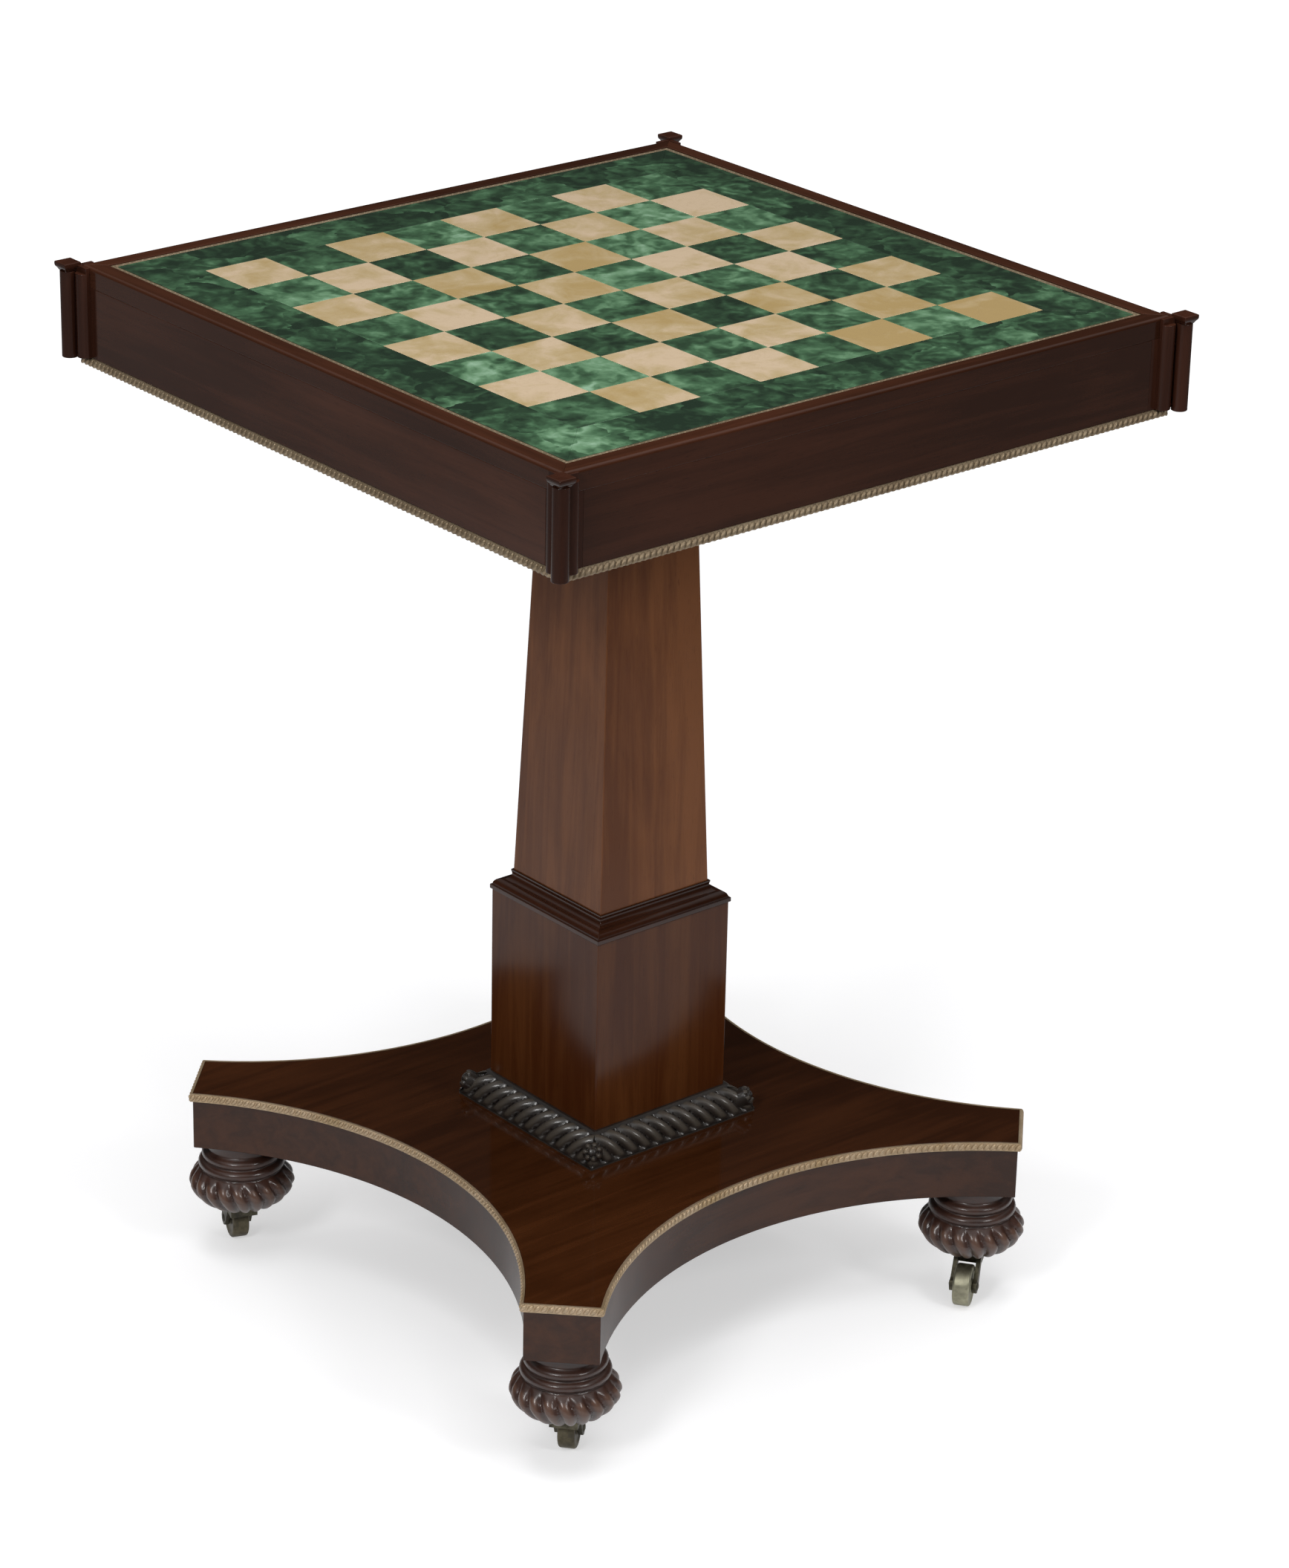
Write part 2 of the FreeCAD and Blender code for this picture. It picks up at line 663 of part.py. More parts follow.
def write_swung(name, shape):
    """Writes one trailing piece for each foot, swung to that caster's angle."""
    for corner, angle in CORNERS.items():
        swung = rotated(shape, CASTER_ANGLES[corner] - angle)
        write(name + "_" + corner, rotated(to_foot_axis(swung), angle))


os.makedirs("parts", exist_ok=True)

write("light_squares", chess_squares(1))
write("malachite_squares", chess_squares(0))
write_places("malachite_border", malachite_border(), SIDES)
write("slate_bed", slate_bed())
write("board_bead", board_bead())
write_places("rim", rim(), SIDES)
write_places("frieze", frieze(), SIDES)
write("frieze_bead", frieze_bead())
write_places("corner_post", corner_post(), CORNERS)
write("top_board", top_board())
write("frieze_corner_blocks", frieze_corner_blocks())
write("column_head", column_head())
write("column_shaft", column_shaft())
write_places("cornice", cornice(), SIDES)
write("plinth", plinth())
write_gadroons()
write("gadroon_studs", gadroon_studs())
write("platform", platform())
write("platform_side_bead", platform_side_bead())
write("platform_end_bead", platform_end_bead())
write_places("foot", foot(), CORNERS)
write("caster_sockets", caster_sockets())
write_swung("caster_horn", caster_horn())
write_swung("caster_wheel", caster_wheel())
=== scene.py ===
import json
import math

import bmesh
import bpy
from mathutils import Matrix, Vector


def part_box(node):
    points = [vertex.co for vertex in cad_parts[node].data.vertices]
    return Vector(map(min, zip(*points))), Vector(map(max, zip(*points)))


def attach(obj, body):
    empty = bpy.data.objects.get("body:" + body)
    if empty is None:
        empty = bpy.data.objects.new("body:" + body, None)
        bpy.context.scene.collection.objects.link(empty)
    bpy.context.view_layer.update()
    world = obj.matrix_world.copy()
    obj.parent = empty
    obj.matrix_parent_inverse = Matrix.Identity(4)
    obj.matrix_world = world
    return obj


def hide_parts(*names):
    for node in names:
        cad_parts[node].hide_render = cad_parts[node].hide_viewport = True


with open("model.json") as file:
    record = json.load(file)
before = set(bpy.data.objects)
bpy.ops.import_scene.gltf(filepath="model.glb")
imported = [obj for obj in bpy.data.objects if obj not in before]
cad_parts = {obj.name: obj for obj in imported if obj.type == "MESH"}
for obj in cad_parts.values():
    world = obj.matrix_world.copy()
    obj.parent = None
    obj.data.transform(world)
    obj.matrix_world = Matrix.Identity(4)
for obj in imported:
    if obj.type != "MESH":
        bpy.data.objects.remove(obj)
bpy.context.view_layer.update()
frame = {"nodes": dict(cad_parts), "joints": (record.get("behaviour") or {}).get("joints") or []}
nodes = frame["nodes"]


# Platform. A slab of pine veneered with mahogany, its four hollow sides faced too, under french polish.
# The plinth, the column and the top are in the same wood, so the finish is made here for all of them.

MM = 0.001


class Wire:
    """A node's output in an expression. Each operation adds the Math node that does it."""

    def __init__(self, tree, node, socket):
        self.tree = tree
        self.node = node
        self.socket = socket

    def out(self, name):
        """Another output of the same node."""
        return Wire(self.tree, self.node, self.node.outputs[name])

    def math(self, operation, *values):
        return self.tree.add("ShaderNodeMath", {"operation": operation}, dict(enumerate(values)))

    def __add__(self, other):
        return self.math("ADD", self, other)

    __radd__ = __add__

    def __sub__(self, other):
        return self.math("SUBTRACT", self, other)

    def __rsub__(self, other):
        return self.math("SUBTRACT", other, self)

    def __mul__(self, other):
        return self.math("MULTIPLY", self, other)

    __rmul__ = __mul__

    def __pow__(self, other):
        return self.math("POWER", self, other)

    def __abs__(self):
        return self.math("ABSOLUTE", self)

    def wave(self):
        return self.math("SINE", self)

    def rise(self, low, high):
        """0 below low, 1 above high, smooth between."""
        limits = {"Value": self, "From Min": low, "From Max": high}
        return self.tree.add("ShaderNodeMapRange", {"interpolation_type": "SMOOTHSTEP"}, limits)


class Tree:
    """A node tree that is built from expressions."""

    def __init__(self, group):
        self.nodes = group.nodes
        self.links = group.links

    def feed(self, socket, value):
        if isinstance(value, Wire):
            self.links.new(value.socket, socket)
        else:
            socket.default_value = value

    def add(self, kind, settings=None, inputs=None):
        """Adds a node: first its settings, then the values or links of its sockets, by name or number."""
        node = self.nodes.new(kind)
        for name, value in (settings or {}).items():
            if name == "stops":
                self.set_stops(node.color_ramp, value)
            else:
                setattr(node, name, value)
        for key, value in (inputs or {}).items():
            socket = node.inputs[key] if isinstance(key, int) else next(
                s for s in node.inputs if s.enabled and s.name == key)
            self.feed(socket, value)
        return Wire(self, node, next((s for s in node.outputs if s.enabled), None))

    @staticmethod
    def set_stops(ramp, stops):
        for place, colour in stops[1:-1]:
            ramp.elements.new(place).color = (*colour, 1)
        ramp.elements[0].position, ramp.elements[0].color = stops[0][0], (*stops[0][1], 1)
        ramp.elements[-1].position, ramp.elements[-1].color = stops[-1][0], (*stops[-1][1], 1)


class Finish(Tree):
    """A surface finish in the making, on object coordinates in metres."""

    def __init__(self, name, constants):
        self.material = bpy.data.materials.new(name)
        self.material.use_nodes = True
        super().__init__(self.material.node_tree)
        self.shader = self.nodes["Principled BSDF"]
        for socket, value in constants.items():
            self.shader.inputs[socket].default_value = value
        self.place = self.add("ShaderNodeTexCoord").out("Object")

    def stretched(self, scale):
        """The place in a pattern with so many units to the metre along each axis."""
        return self.vector("MULTIPLY", self.place, Vector(scale))

    def vector(self, operation, *values):
        return self.add("ShaderNodeVectorMath", {"operation": operation}, dict(enumerate(values)))

    def noise(self, place, scale=1.0, detail=3.0, roughness=0.5, distortion=0.0):
        values = {"Vector": place, "Scale": scale, "Detail": detail, "Roughness": roughness,
                  "Distortion": distortion}
        return self.add("ShaderNodeTexNoise", None, values)

    def ramp(self, share, stops):
        return self.add("ShaderNodeValToRGB", {"stops": stops}, {"Fac": share})

    def mixed(self, share, first, second):
        """A colour between two."""
        first, second = (c if isinstance(c, Wire) else (*c, 1) for c in (first, second))
        return self.add("ShaderNodeMix", {"data_type": "RGBA"}, {"Factor": share, "A": first, "B": second})

    def paint(self, **outputs):
        """Links what changes over the surface: color, roughness, metallic, coat."""
        sockets = {"color": "Base Color", "roughness": "Roughness", "metallic": "Metallic",
                   "coat": "Coat Weight"}
        for name, value in outputs.items():
            self.feed(self.shader.inputs[sockets[name]], value)

    def relief(self, height, depth):
        """Bumps of the given depth in metres."""
        bump = self.add("ShaderNodeBump", None, {"Height": height, "Distance": depth, "Strength": 1.0})
        self.feed(self.shader.inputs["Normal"], bump)


def polished_wood(name, along, dark, light, coat=1.0, haze=0.10, painted_light_and_shade=None):
    """Figured wood under french polish, with its grain along one axis. Painted light and shade, where given,
    makes it lighter or darker in places.
    """
    finish = Finish(name, {"Specular IOR Level": 0.0, "Coat Roughness": haze, "Coat IOR": 1.45})
    streaks = finish.stretched([5.0 if axis == along else 95.0 for axis in range(3)])
    pores = finish.stretched([90.0 if axis == along else 1500.0 for axis in range(3)])
    cloud = finish.stretched([4.0 if axis == along else 11.0 for axis in range(3)])
    figure = finish.noise(cloud, 1.0, 3.0, 0.55, 1.2).out("Fac")
    grain = finish.noise(streaks, 1.0, 6.0, 0.62, 0.6).out("Fac")
    pore = finish.noise(pores, 1.0, 2.0, 0.6).out("Fac").rise(0.60, 0.74)
    share = (0.55 * grain + 0.45 * figure).rise(0.36, 0.66)
    if painted_light_and_shade:
        share = share + painted_light_and_shade(finish)
    middle = tuple((a + b) / 2 for a, b in zip(dark, light))
    colour = finish.ramp(share, [(0.0, dark), (0.5, middle), (1.0, light)])
    colour = finish.mixed(0.35 * pore, colour, tuple(0.3 * c for c in dark))
    wear = finish.noise(finish.place, 26.0, 4.0, 0.6).out("Fac")
    finish.paint(color=colour, roughness=0.30 + 0.22 * wear + 0.12 * pore, coat=coat - 0.18 * wear)
    waves = finish.noise(finish.place, 14.0, 1.0).out("Fac")
    finish.relief(waves + 0.04 * grain - 0.03 * pore, 0.0009)
    return finish.material


def painted_light_and_shade_along(axis, start, stop, at_start, at_stop):
    """Painted light and shade: wood made lighter or darker from one place to another along an axis."""
    def painted_light_and_shade(finish):
        place = finish.add("ShaderNodeSeparateXYZ", None, {"Vector": finish.place}).out(axis)
        return at_start + (at_stop - at_start) * place.rise(start, stop)
    return painted_light_and_shade


# Painted shade: the platform grows darker toward its right arm, from 70 to 230 mm along X.
platform_mahogany = polished_wood(
    "mahogany_of_the_platform", 0, (0.030, 0.0090, 0.0028), (0.060, 0.0186, 0.0058), 0.9,
    painted_light_and_shade=painted_light_and_shade_along("X", 70 * MM, 230 * MM, 0.05, -0.60))


def as_mesh(thing, name):
    """The evaluated result of an object's modifiers as a plain object in its place."""
    graph = bpy.context.evaluated_depsgraph_get()
    mesh = bpy.data.meshes.new_from_object(thing.evaluated_get(graph), depsgraph=graph)
    mesh.name = name
    bpy.data.objects.remove(thing)
    made = bpy.data.objects.new(name, mesh)
    bpy.context.scene.collection.objects.link(made)
    return made


def shown(shape, name):
    """An object in the scene from a bmesh."""
    mesh = bpy.data.meshes.new(name)
    shape.to_mesh(mesh)
    shape.free()
    made = bpy.data.objects.new(name, mesh)
    bpy.context.scene.collection.objects.link(made)
    return made


def merged(node):
    """A CAD node's solid with its loose triangles joined into whole faces."""
    shape = bmesh.new()
    shape.from_mesh(nodes[node].data)
    bmesh.ops.remove_doubles(shape, verts=shape.verts, dist=0.002 * MM)
    bmesh.ops.dissolve_limit(shape, angle_limit=math.radians(0.5), verts=shape.verts, edges=shape.edges)
    return shape


def eased(thing, edge, name, smooth=30.0):
    """Rounds off the sharp edges by the given radius, as sanding and polish do."""
    for face in thing.data.polygons:
        face.use_smooth = True
    bevel = thing.modifiers.new("eased edges", "BEVEL")
    bevel.width = edge
    bevel.segments = 3
    bevel.limit_method = "ANGLE"
    bevel.angle_limit = math.radians(smooth)
    bevel.harden_normals = True
    flat = thing.modifiers.new("flat faces", "WEIGHTED_NORMAL")
    flat.keep_sharp = True
    return as_mesh(thing, name)


def dress(thing, finish, slot, body, *replaced):
    """Finishes a piece: its material, the body it belongs to, and the CAD nodes it stands for. The slot is
    not used.
    """
    thing.data.materials.clear()
    thing.data.materials.append(finish)
    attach(thing, body)
    if replaced:
        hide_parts(*replaced)


def eased_node(node, edge, finish, slot, body="table"):
    """The node's own shape with eased edges, in the node's place."""
    thing = eased(shown(merged(node), node + "_shape"), edge, node + "_finished")
    dress(thing, finish, slot, body, node)


eased_node("platform", 0.7 * MM, platform_mahogany, "mahogany")


# Plinth and column. A square plinth in vertical veneers carries the tapered column, whose foot goes down
# inside a mitred cornice. The column's tenon stands in the block under the top.

SIDES = ("front", "right", "back", "left")
# Painted light and shade: the wood along X grows darker from left to right, the wood along Y from front to
# back.
mahogany = {
    "x": polished_wood("mahogany_along_x", 0, (0.026, 0.0086, 0.0041), (0.048, 0.0159, 0.0078),
                       painted_light_and_shade=painted_light_and_shade_along("X", -200 * MM, 200 * MM, 0.28, -0.40)),
    "y": polished_wood("mahogany_along_y", 1, (0.036, 0.0120, 0.0059), (0.067, 0.0225, 0.0113),
                       painted_light_and_shade=painted_light_and_shade_along("Y", -220 * MM, 220 * MM, 0.20, -0.30)),
    "z": polished_wood("mahogany_along_z", 2, (0.026, 0.0088, 0.0050), (0.044, 0.0150, 0.0085), 0.75),
}
plinth_mahogany = polished_wood(
    "mahogany_of_the_plinth", 2, (0.068, 0.0180, 0.0048), (0.114, 0.0375, 0.0105), 0.65, 0.15)


def painted_light_on_front_face(finish):
    """Painted light and shade on the column's front face: darker toward its left edge and paler toward its
    right edge.
    """
    place = finish.add("ShaderNodeSeparateXYZ", None, {"Vector": finish.place})
    x, y = place.out("X"), place.out("Y")
    on_front = (-1.0 * y - abs(x)).rise(-0.5 * MM, 0.5 * MM)
    return on_front * (x.rise(-45.0 * MM, 45.0 * MM) - 0.42)


column_mahogany = polished_wood(
    "mahogany_of_the_column", 2, (0.125, 0.0395, 0.0120), (0.222, 0.0790, 0.0250), 0.65, 0.16, painted_light_on_front_face)
eased_node("plinth", 0.8 * MM, plinth_mahogany, "mahogany")
eased_node("column_shaft", 0.9 * MM, column_mahogany, "mahogany")
for side, axis in zip(SIDES, "xyxy"):
    eased_node("cornice_" + side, 0.35 * MM, mahogany[axis], "mahogany")


# Top rails. Each frieze is a board between two posts, and the rim above it is mitred at the corners.
# The grain runs along each rail.

rim_mahogany = {
    "x": mahogany["x"],
    "y": polished_wood("mahogany_of_the_side_rims", 1, (0.029, 0.0100, 0.0050), (0.048, 0.0164, 0.0082)),
}
for side, axis in zip(SIDES, "xyxy"):
    eased_node("frieze_" + side, 0.4 * MM, mahogany[axis], "mahogany")
    eased_node("rim_" + side, 0.3 * MM, rim_mahogany[axis], "mahogany")


# Unseen wood. The board under the stone, its glue blocks and the column's block are bare pine,
# darkened with age.

def bare_wood(name, along, dark, light):
    finish = Finish(name, {"Specular IOR Level": 0.15})
    rings = finish.stretched([3.0 if axis == along else 60.0 for axis in range(3)])
    rings = finish.noise(rings, 1.0, 5.0, 0.6, 0.8).out("Fac")
    fuzz = finish.stretched([120.0 if axis == along else 1400.0 for axis in range(3)])
    fuzz = finish.noise(fuzz, 1.0, 2.0).out("Fac")
    finish.paint(color=finish.ramp(rings.rise(0.32, 0.70), [(0.0, dark), (1.0, light)]),
                 roughness=0.62 + 0.25 * fuzz)
    finish.relief(0.6 * rings + 0.4 * fuzz, 0.0004)
    return finish.material


pine = bare_wood("aged_pine", 0, (0.085, 0.044, 0.020), (0.21, 0.125, 0.060))
for node, edge in (("top_board", 0.5), ("frieze_corner_blocks", 0.5), ("column_head", 0.8)):
    eased_node(node, edge * MM, pine, "pine")


# Stone top. Eight by eight squares, alternately malachite and cream marble, each a slab cut on its own,
# inside a border that is made up of smaller offcuts of malachite. Slate backs them all.

SQUARE = 49.0 * MM
JUMP = Vector((9.0, 9.0, 9.0))


def stone_in_squares(finish):
    """A place that jumps from square to square, and one random number for each square."""
    place = finish.vector("DIVIDE", finish.place, Vector((SQUARE, SQUARE, 1.0)))
    square = finish.vector("FLOOR", place)
    chance = finish.add("ShaderNodeTexWhiteNoise", {"noise_dimensions": "2D"}, {"Vector": square})
    jump = finish.vector("MULTIPLY_ADD", chance.out("Color"), JUMP, finish.place)
    return jump, chance.out("Value")


PALE_CORNER = Vector((-0.209, -0.214, 0.7345))


def stone_in_offcuts(finish):
    """A place that jumps from offcut to offcut, one random number for each, and the joints between them.
    The palest piece lies in the front left corner."""
    warp = finish.noise(finish.place, 45.0, 3.0).out("Color")
    bent = finish.vector("MULTIPLY_ADD", warp, Vector((0.034, 0.034, 0.0)), finish.place)
    settings = {"voronoi_dimensions": "2D"}
    cell = finish.add("ShaderNodeTexVoronoi", settings, {"Vector": bent, "Scale": 30.0})
    seam = finish.add("ShaderNodeTexVoronoi", {**settings, "feature": "DISTANCE_TO_EDGE"},
                      {"Vector": bent, "Scale": 30.0})
    jump = finish.vector("MULTIPLY_ADD", cell.out("Color"), JUMP, finish.place)
    chance = finish.add("ShaderNodeSeparateColor", None, {"Color": cell.out("Color")})
    from_corner = finish.vector("LENGTH", finish.vector("SUBTRACT", finish.place, PALE_CORNER)).out("Value")
    return jump, 0.65 * chance + 0.9 * (1 - from_corner.rise(0.010, 0.060)), 1 - seam.rise(0.002, 0.012)


def banded_malachite(finish, place, chance, shade):
    """Green bands round eyes, from nearly black to pale, lighter or darker by chance."""
    warp = finish.noise(place, 24.0, 3.0, 0.55).out("Color")
    bent = finish.vector("MULTIPLY_ADD", warp, Vector((0.045, 0.045, 0.045)), place)
    eyes = finish.add("ShaderNodeTexVoronoi", {"feature": "SMOOTH_F1", "voronoi_dimensions": "3D"},
                      {"Vector": bent, "Scale": 30.0, "Smoothness": 0.5}).out("Distance")
    cloud = finish.noise(bent, 34.0, 4.0, 0.60).out("Fac")
    patch = finish.noise(place, 85.0, 2.0, 0.5, 0.8).out("Fac")
    bands = (eyes * 19.0 + cloud * 6.0).wave()
    share = 1.05 * cloud + 0.46 * patch + 0.08 * bands + 0.38 * chance - shade
    return finish.ramp(share, [
        (0.15, (0.0100, 0.0230, 0.0125)),
        (0.36, (0.0220, 0.0520, 0.0260)),
        (0.54, (0.0480, 0.1120, 0.0560)),
        (0.72, (0.1150, 0.2250, 0.1250)),
        (0.92, (0.2300, 0.3700, 0.2500)),
    ])


def malachite(name, layout, shade):
    finish = Finish(name, {"IOR": 1.6, "Coat Roughness": 0.05})
    place, chance, *seams = layout(finish)
    colour = banded_malachite(finish, place, chance, shade)
    for seam in seams:
        colour = finish.mixed(0.12 * seam, colour, (0.008, 0.020, 0.012))
    speck = finish.noise(finish.place, 900.0, 2.0).out("Fac")
    finish.paint(color=colour, roughness=0.24 + 0.14 * speck, coat=0.45 + 0.2 * speck)
    finish.relief(finish.noise(finish.place, 35.0, 2.0).out("Fac"), 0.0002)
    return finish.material


def cream_marble():
    """Buff stone with faint clouds and thin veins, each square a little pinker or yellower."""
    finish = Finish("cream_marble", {"IOR": 1.5, "Coat Roughness": 0.06})
    place, chance = stone_in_squares(finish)
    cloud = finish.noise(place, 34.0, 5.0, 0.6, 0.4).out("Fac")
    vein = 1 - abs(finish.noise(place, 60.0, 3.0, 0.55, 1.2).out("Fac") - 0.5).rise(0.0, 0.035)
    colour = finish.ramp(1.7 * cloud + 0.6 * chance - 0.65, [
        (0.20, (0.330, 0.232, 0.098)), (0.50, (0.385, 0.292, 0.160)), (0.80, (0.470, 0.362, 0.245)),
    ])
    colour = finish.mixed(0.10 * vein, colour, (0.26, 0.17, 0.09))
    speck = finish.noise(finish.place, 700.0, 2.0).out("Fac")
    finish.paint(color=colour, roughness=0.28 + 0.16 * speck, coat=0.35 + 0.2 * speck)
    finish.relief(cloud, 0.0002)
    return finish.material


JOINT = 0.15 * MM
malachite_slabs = malachite("malachite_squares_stone", stone_in_squares, 0.46)
for node, odd, finish, slot in (("light_squares", 1, cream_marble(), "cream_marble"),
                                ("malachite_squares", 0, malachite_slabs, "malachite")):
    low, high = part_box(node)
    shape = bmesh.new()
    for row in range(-4, 4):
        for column in range(-4, 4):
            if (row + column) % 2 == odd:
                for vert in bmesh.ops.create_cube(shape, size=1.0)["verts"]:
                    vert.co = Vector(((column + 0.5) * SQUARE + vert.co.x * (SQUARE - JOINT),
                                      (row + 0.5) * SQUARE + vert.co.y * (SQUARE - JOINT),
                                      high.z if vert.co.z > 0 else low.z))
    dress(eased(shown(shape, node + "_shape"), 0.25 * MM, node + "_cut"), finish, slot, "table", node)
border_stone = malachite("malachite_border_stone", stone_in_offcuts, 0.56)
for side in SIDES:
    eased_node("malachite_border_" + side, 0.2 * MM, border_stone, "malachite")

slate = Finish("slate", {})
slate_flake = slate.noise(slate.stretched((40.0, 40.0, 900.0)), 1.0, 5.0).out("Fac")
slate.paint(color=slate.ramp(slate_flake, [(0.3, (0.018, 0.020, 0.023)), (0.7, (0.045, 0.048, 0.052))]),
            roughness=0.55 + 0.2 * slate_flake)
slate.relief(slate_flake, 0.0003)
eased_node("slate_bed", 0.4 * MM, slate.material, "slate")


# Beading. Gilt brass strips with small raised forms pressed in them: a rope twist under the friezes and
# round the platform's top edge, and a row of pearls between the stone and the rim. They are pinned on.

def gilt_brass(name, dark, light):
    """Pale gilding, rubbed and dirty in places."""
    finish = Finish(name, {})
    dirt = finish.noise(finish.place, 260.0, 4.0, 0.65).out("Fac")
    patch = finish.noise(finish.place, 35.0, 3.0, 0.6).out("Fac")
    tone = finish.ramp(patch, [(0.30, dark), (0.70, light)])
    soiled = (0.7 * dirt + 0.3 * patch).rise(0.52, 0.70)
    colour = finish.mixed(0.45 * soiled, tone, tuple(0.3 * c for c in dark))
    finish.paint(color=colour, metallic=0.75 - 0.40 * soiled, roughness=0.42 + 0.22 * dirt)
    finish.relief(dirt, 0.00012)
    return finish.material


gilt = gilt_brass("gilt_brass", (0.42, 0.302, 0.170), (0.57, 0.442, 0.305))
worn_gilt = gilt_brass("worn_gilt_brass", (0.24, 0.174, 0.108), (0.36, 0.282, 0.185))
for node in ("board_bead", "frieze_bead", "platform_side_bead", "platform_end_bead"):
    nodes[node].material_slots[0].link = "OBJECT"
    nodes[node].material_slots[0].material = gilt if node.startswith("platform") else worn_gilt


class Shaper(Tree):
    """A Geometry Nodes tree with named inputs, which works on the piece it is given."""

    def __init__(self, name, sizes):
        self.group = bpy.data.node_groups.new(name, "GeometryNodeTree")
        super().__init__(self.group)
        sockets = self.group.interface
        sockets.new_socket("Geometry", in_out="INPUT", socket_type="NodeSocketGeometry")
        for size in sizes:
            sockets.new_socket(size, in_out="INPUT", socket_type="NodeSocketFloat")
        sockets.new_socket("Material", in_out="INPUT", socket_type="NodeSocketMaterial")
        sockets.new_socket("Geometry", in_out="OUTPUT", socket_type="NodeSocketGeometry")
        self.given = self.add("NodeGroupInput")

    def end(self, geometry):
        """Realizes, smooths and paints what the tree has made."""
        real = self.add("GeometryNodeRealizeInstances", None, {"Geometry": geometry})
        smooth = self.add("GeometryNodeSetShadeSmooth", None, {"Geometry": real})
        painted = self.add("GeometryNodeSetMaterial", None,
                           {"Geometry": smooth, "Material": self.given.out("Material")})
        self.add("NodeGroupOutput", None, {"Geometry": painted})

    def shape(self, thing, name, finish, sizes):
        """Runs the tree on an object and leaves a plain mesh."""
        modifier = thing.modifiers.new(self.group.name, "NODES")
        modifier.node_group = self.group
        for socket in self.group.interface.items_tree:
            if socket.in_out == "INPUT" and socket.name in sizes:
                modifier[socket.identifier] = sizes[socket.name]
            elif socket.in_out == "INPUT" and socket.name == "Material":
                modifier[socket.identifier] = finish
        return as_mesh(thing, name)


def beading_tree():
    """Small rounded forms in a row along a path, each leaning by an angle and facing out from the table."""
    tree = Shaper("beading", ("Pitch", "Length", "Width", "Proud", "Lean"))
    given = tree.given
    path = tree.add("GeometryNodeMeshToCurve", None, {"Mesh": given.out("Geometry")})
    spaced = tree.add("GeometryNodeResampleCurve", None, {"Curve": path})
    spaced.node.mode = "LENGTH"
    tree.feed(next(s for s in spaced.node.inputs if s.name == "Length"), given.out("Pitch"))
    tangent = tree.add("GeometryNodeInputTangent")
    lean = given.out("Lean")
    run = tree.add("ShaderNodeVectorMath", {"operation": "SCALE"},
                   {"Vector": tangent, "Scale": lean.math("COSINE", lean)})
    climb = tree.add("ShaderNodeCombineXYZ", None, {"Z": lean.wave()})
    along = tree.add("ShaderNodeVectorMath", {"operation": "ADD"}, {0: run, 1: climb})
    outward = tree.add("ShaderNodeVectorMath", {"operation": "CROSS_PRODUCT"},
                       {0: tangent, 1: Vector((0, 0, 1))})
    turn = tree.add("FunctionNodeAlignRotationToVector", {"axis": "X"}, {"Vector": along})
    turn = tree.add("FunctionNodeAlignRotationToVector", {"axis": "Y", "pivot_axis": "X"},
                    {"Rotation": turn, "Vector": outward})
    form = tree.add("GeometryNodeMeshUVSphere", None, {"Segments": 10, "Rings": 6, "Radius": 0.5})
    scale = tree.add("ShaderNodeCombineXYZ", None, {
        "X": given.out("Length"), "Y": 2.0 * given.out("Proud"), "Z": given.out("Width")})
    tree.end(tree.add("GeometryNodeInstanceOnPoints", None, {
        "Points": spaced, "Instance": form, "Rotation": turn, "Scale": scale}))
    return tree


beading = beading_tree()


def path_of(points):
    """A path through points, as edges only."""
    shape = bmesh.new()
    corners = [shape.verts.new(point) for point in points]
    for a, b in zip(corners, corners[1:]):
        shape.edges.new((a, b))
    return shown(shape, "path")


def joined(things, name):
    """Several meshes as one object."""
    shape = bmesh.new()
    for thing in things:
        shape.from_mesh(thing.data)
        bpy.data.objects.remove(thing)
    made = shown(shape, name)
    for face in made.data.polygons:
        face.use_smooth = True
    return made


def round_table(angle, points):
    """Points made for the front, carried to another side."""
    turn = Matrix.Rotation(angle, 3, "Z")
    return [turn @ Vector(point) for point in points]


QUARTER = math.pi / 2
frieze_low, frieze_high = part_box("frieze_bead")
TWIST = math.radians(48)
FRIEZE_ROPE_REACH = 254.0 * MM
FRIEZE_ROPE_IN = 0.4 * MM
out = -frieze_low.y - FRIEZE_ROPE_IN
height = (frieze_low.z + frieze_high.z) / 2
rope = {"Pitch": 4.6 * MM, "Length": 7.6 * MM, "Width": 3.3 * MM, "Proud": 1.9 * MM, "Lean": TWIST}
ropes = []
for turn in range(4):
    run = [(-FRIEZE_ROPE_REACH, -out, height), (FRIEZE_ROPE_REACH, -out, height)]
    ropes.append(beading.shape(path_of(round_table(turn * QUARTER, run)), "rope", worn_gilt, rope))
dress(joined(ropes, "frieze_bead_rope"), worn_gilt, "gilt", "table")

# The pearls stop short of the next side's first one.
bead_low, bead_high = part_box("board_bead")
PEARLS_IN = 2.25 * MM
PEARLS_SUNK = 0.9 * MM
PEARLS_SHORT = 3 * MM
out = -bead_low.y - PEARLS_IN
height = bead_high.z - PEARLS_SUNK
pearl = {"Pitch": 5.1 * MM, "Length": 3.6 * MM, "Width": 2.6 * MM, "Proud": 1.3 * MM, "Lean": 0.0}
pearls = []
for turn in range(4):
    run = [(-out, -out, height), (out - PEARLS_SHORT, -out, height)]
    pearls.append(beading.shape(path_of(round_table(turn * QUARTER, run)), "pearls", worn_gilt, pearl))
dress(joined(pearls, "board_bead_pearls"), worn_gilt, "gilt", "table")

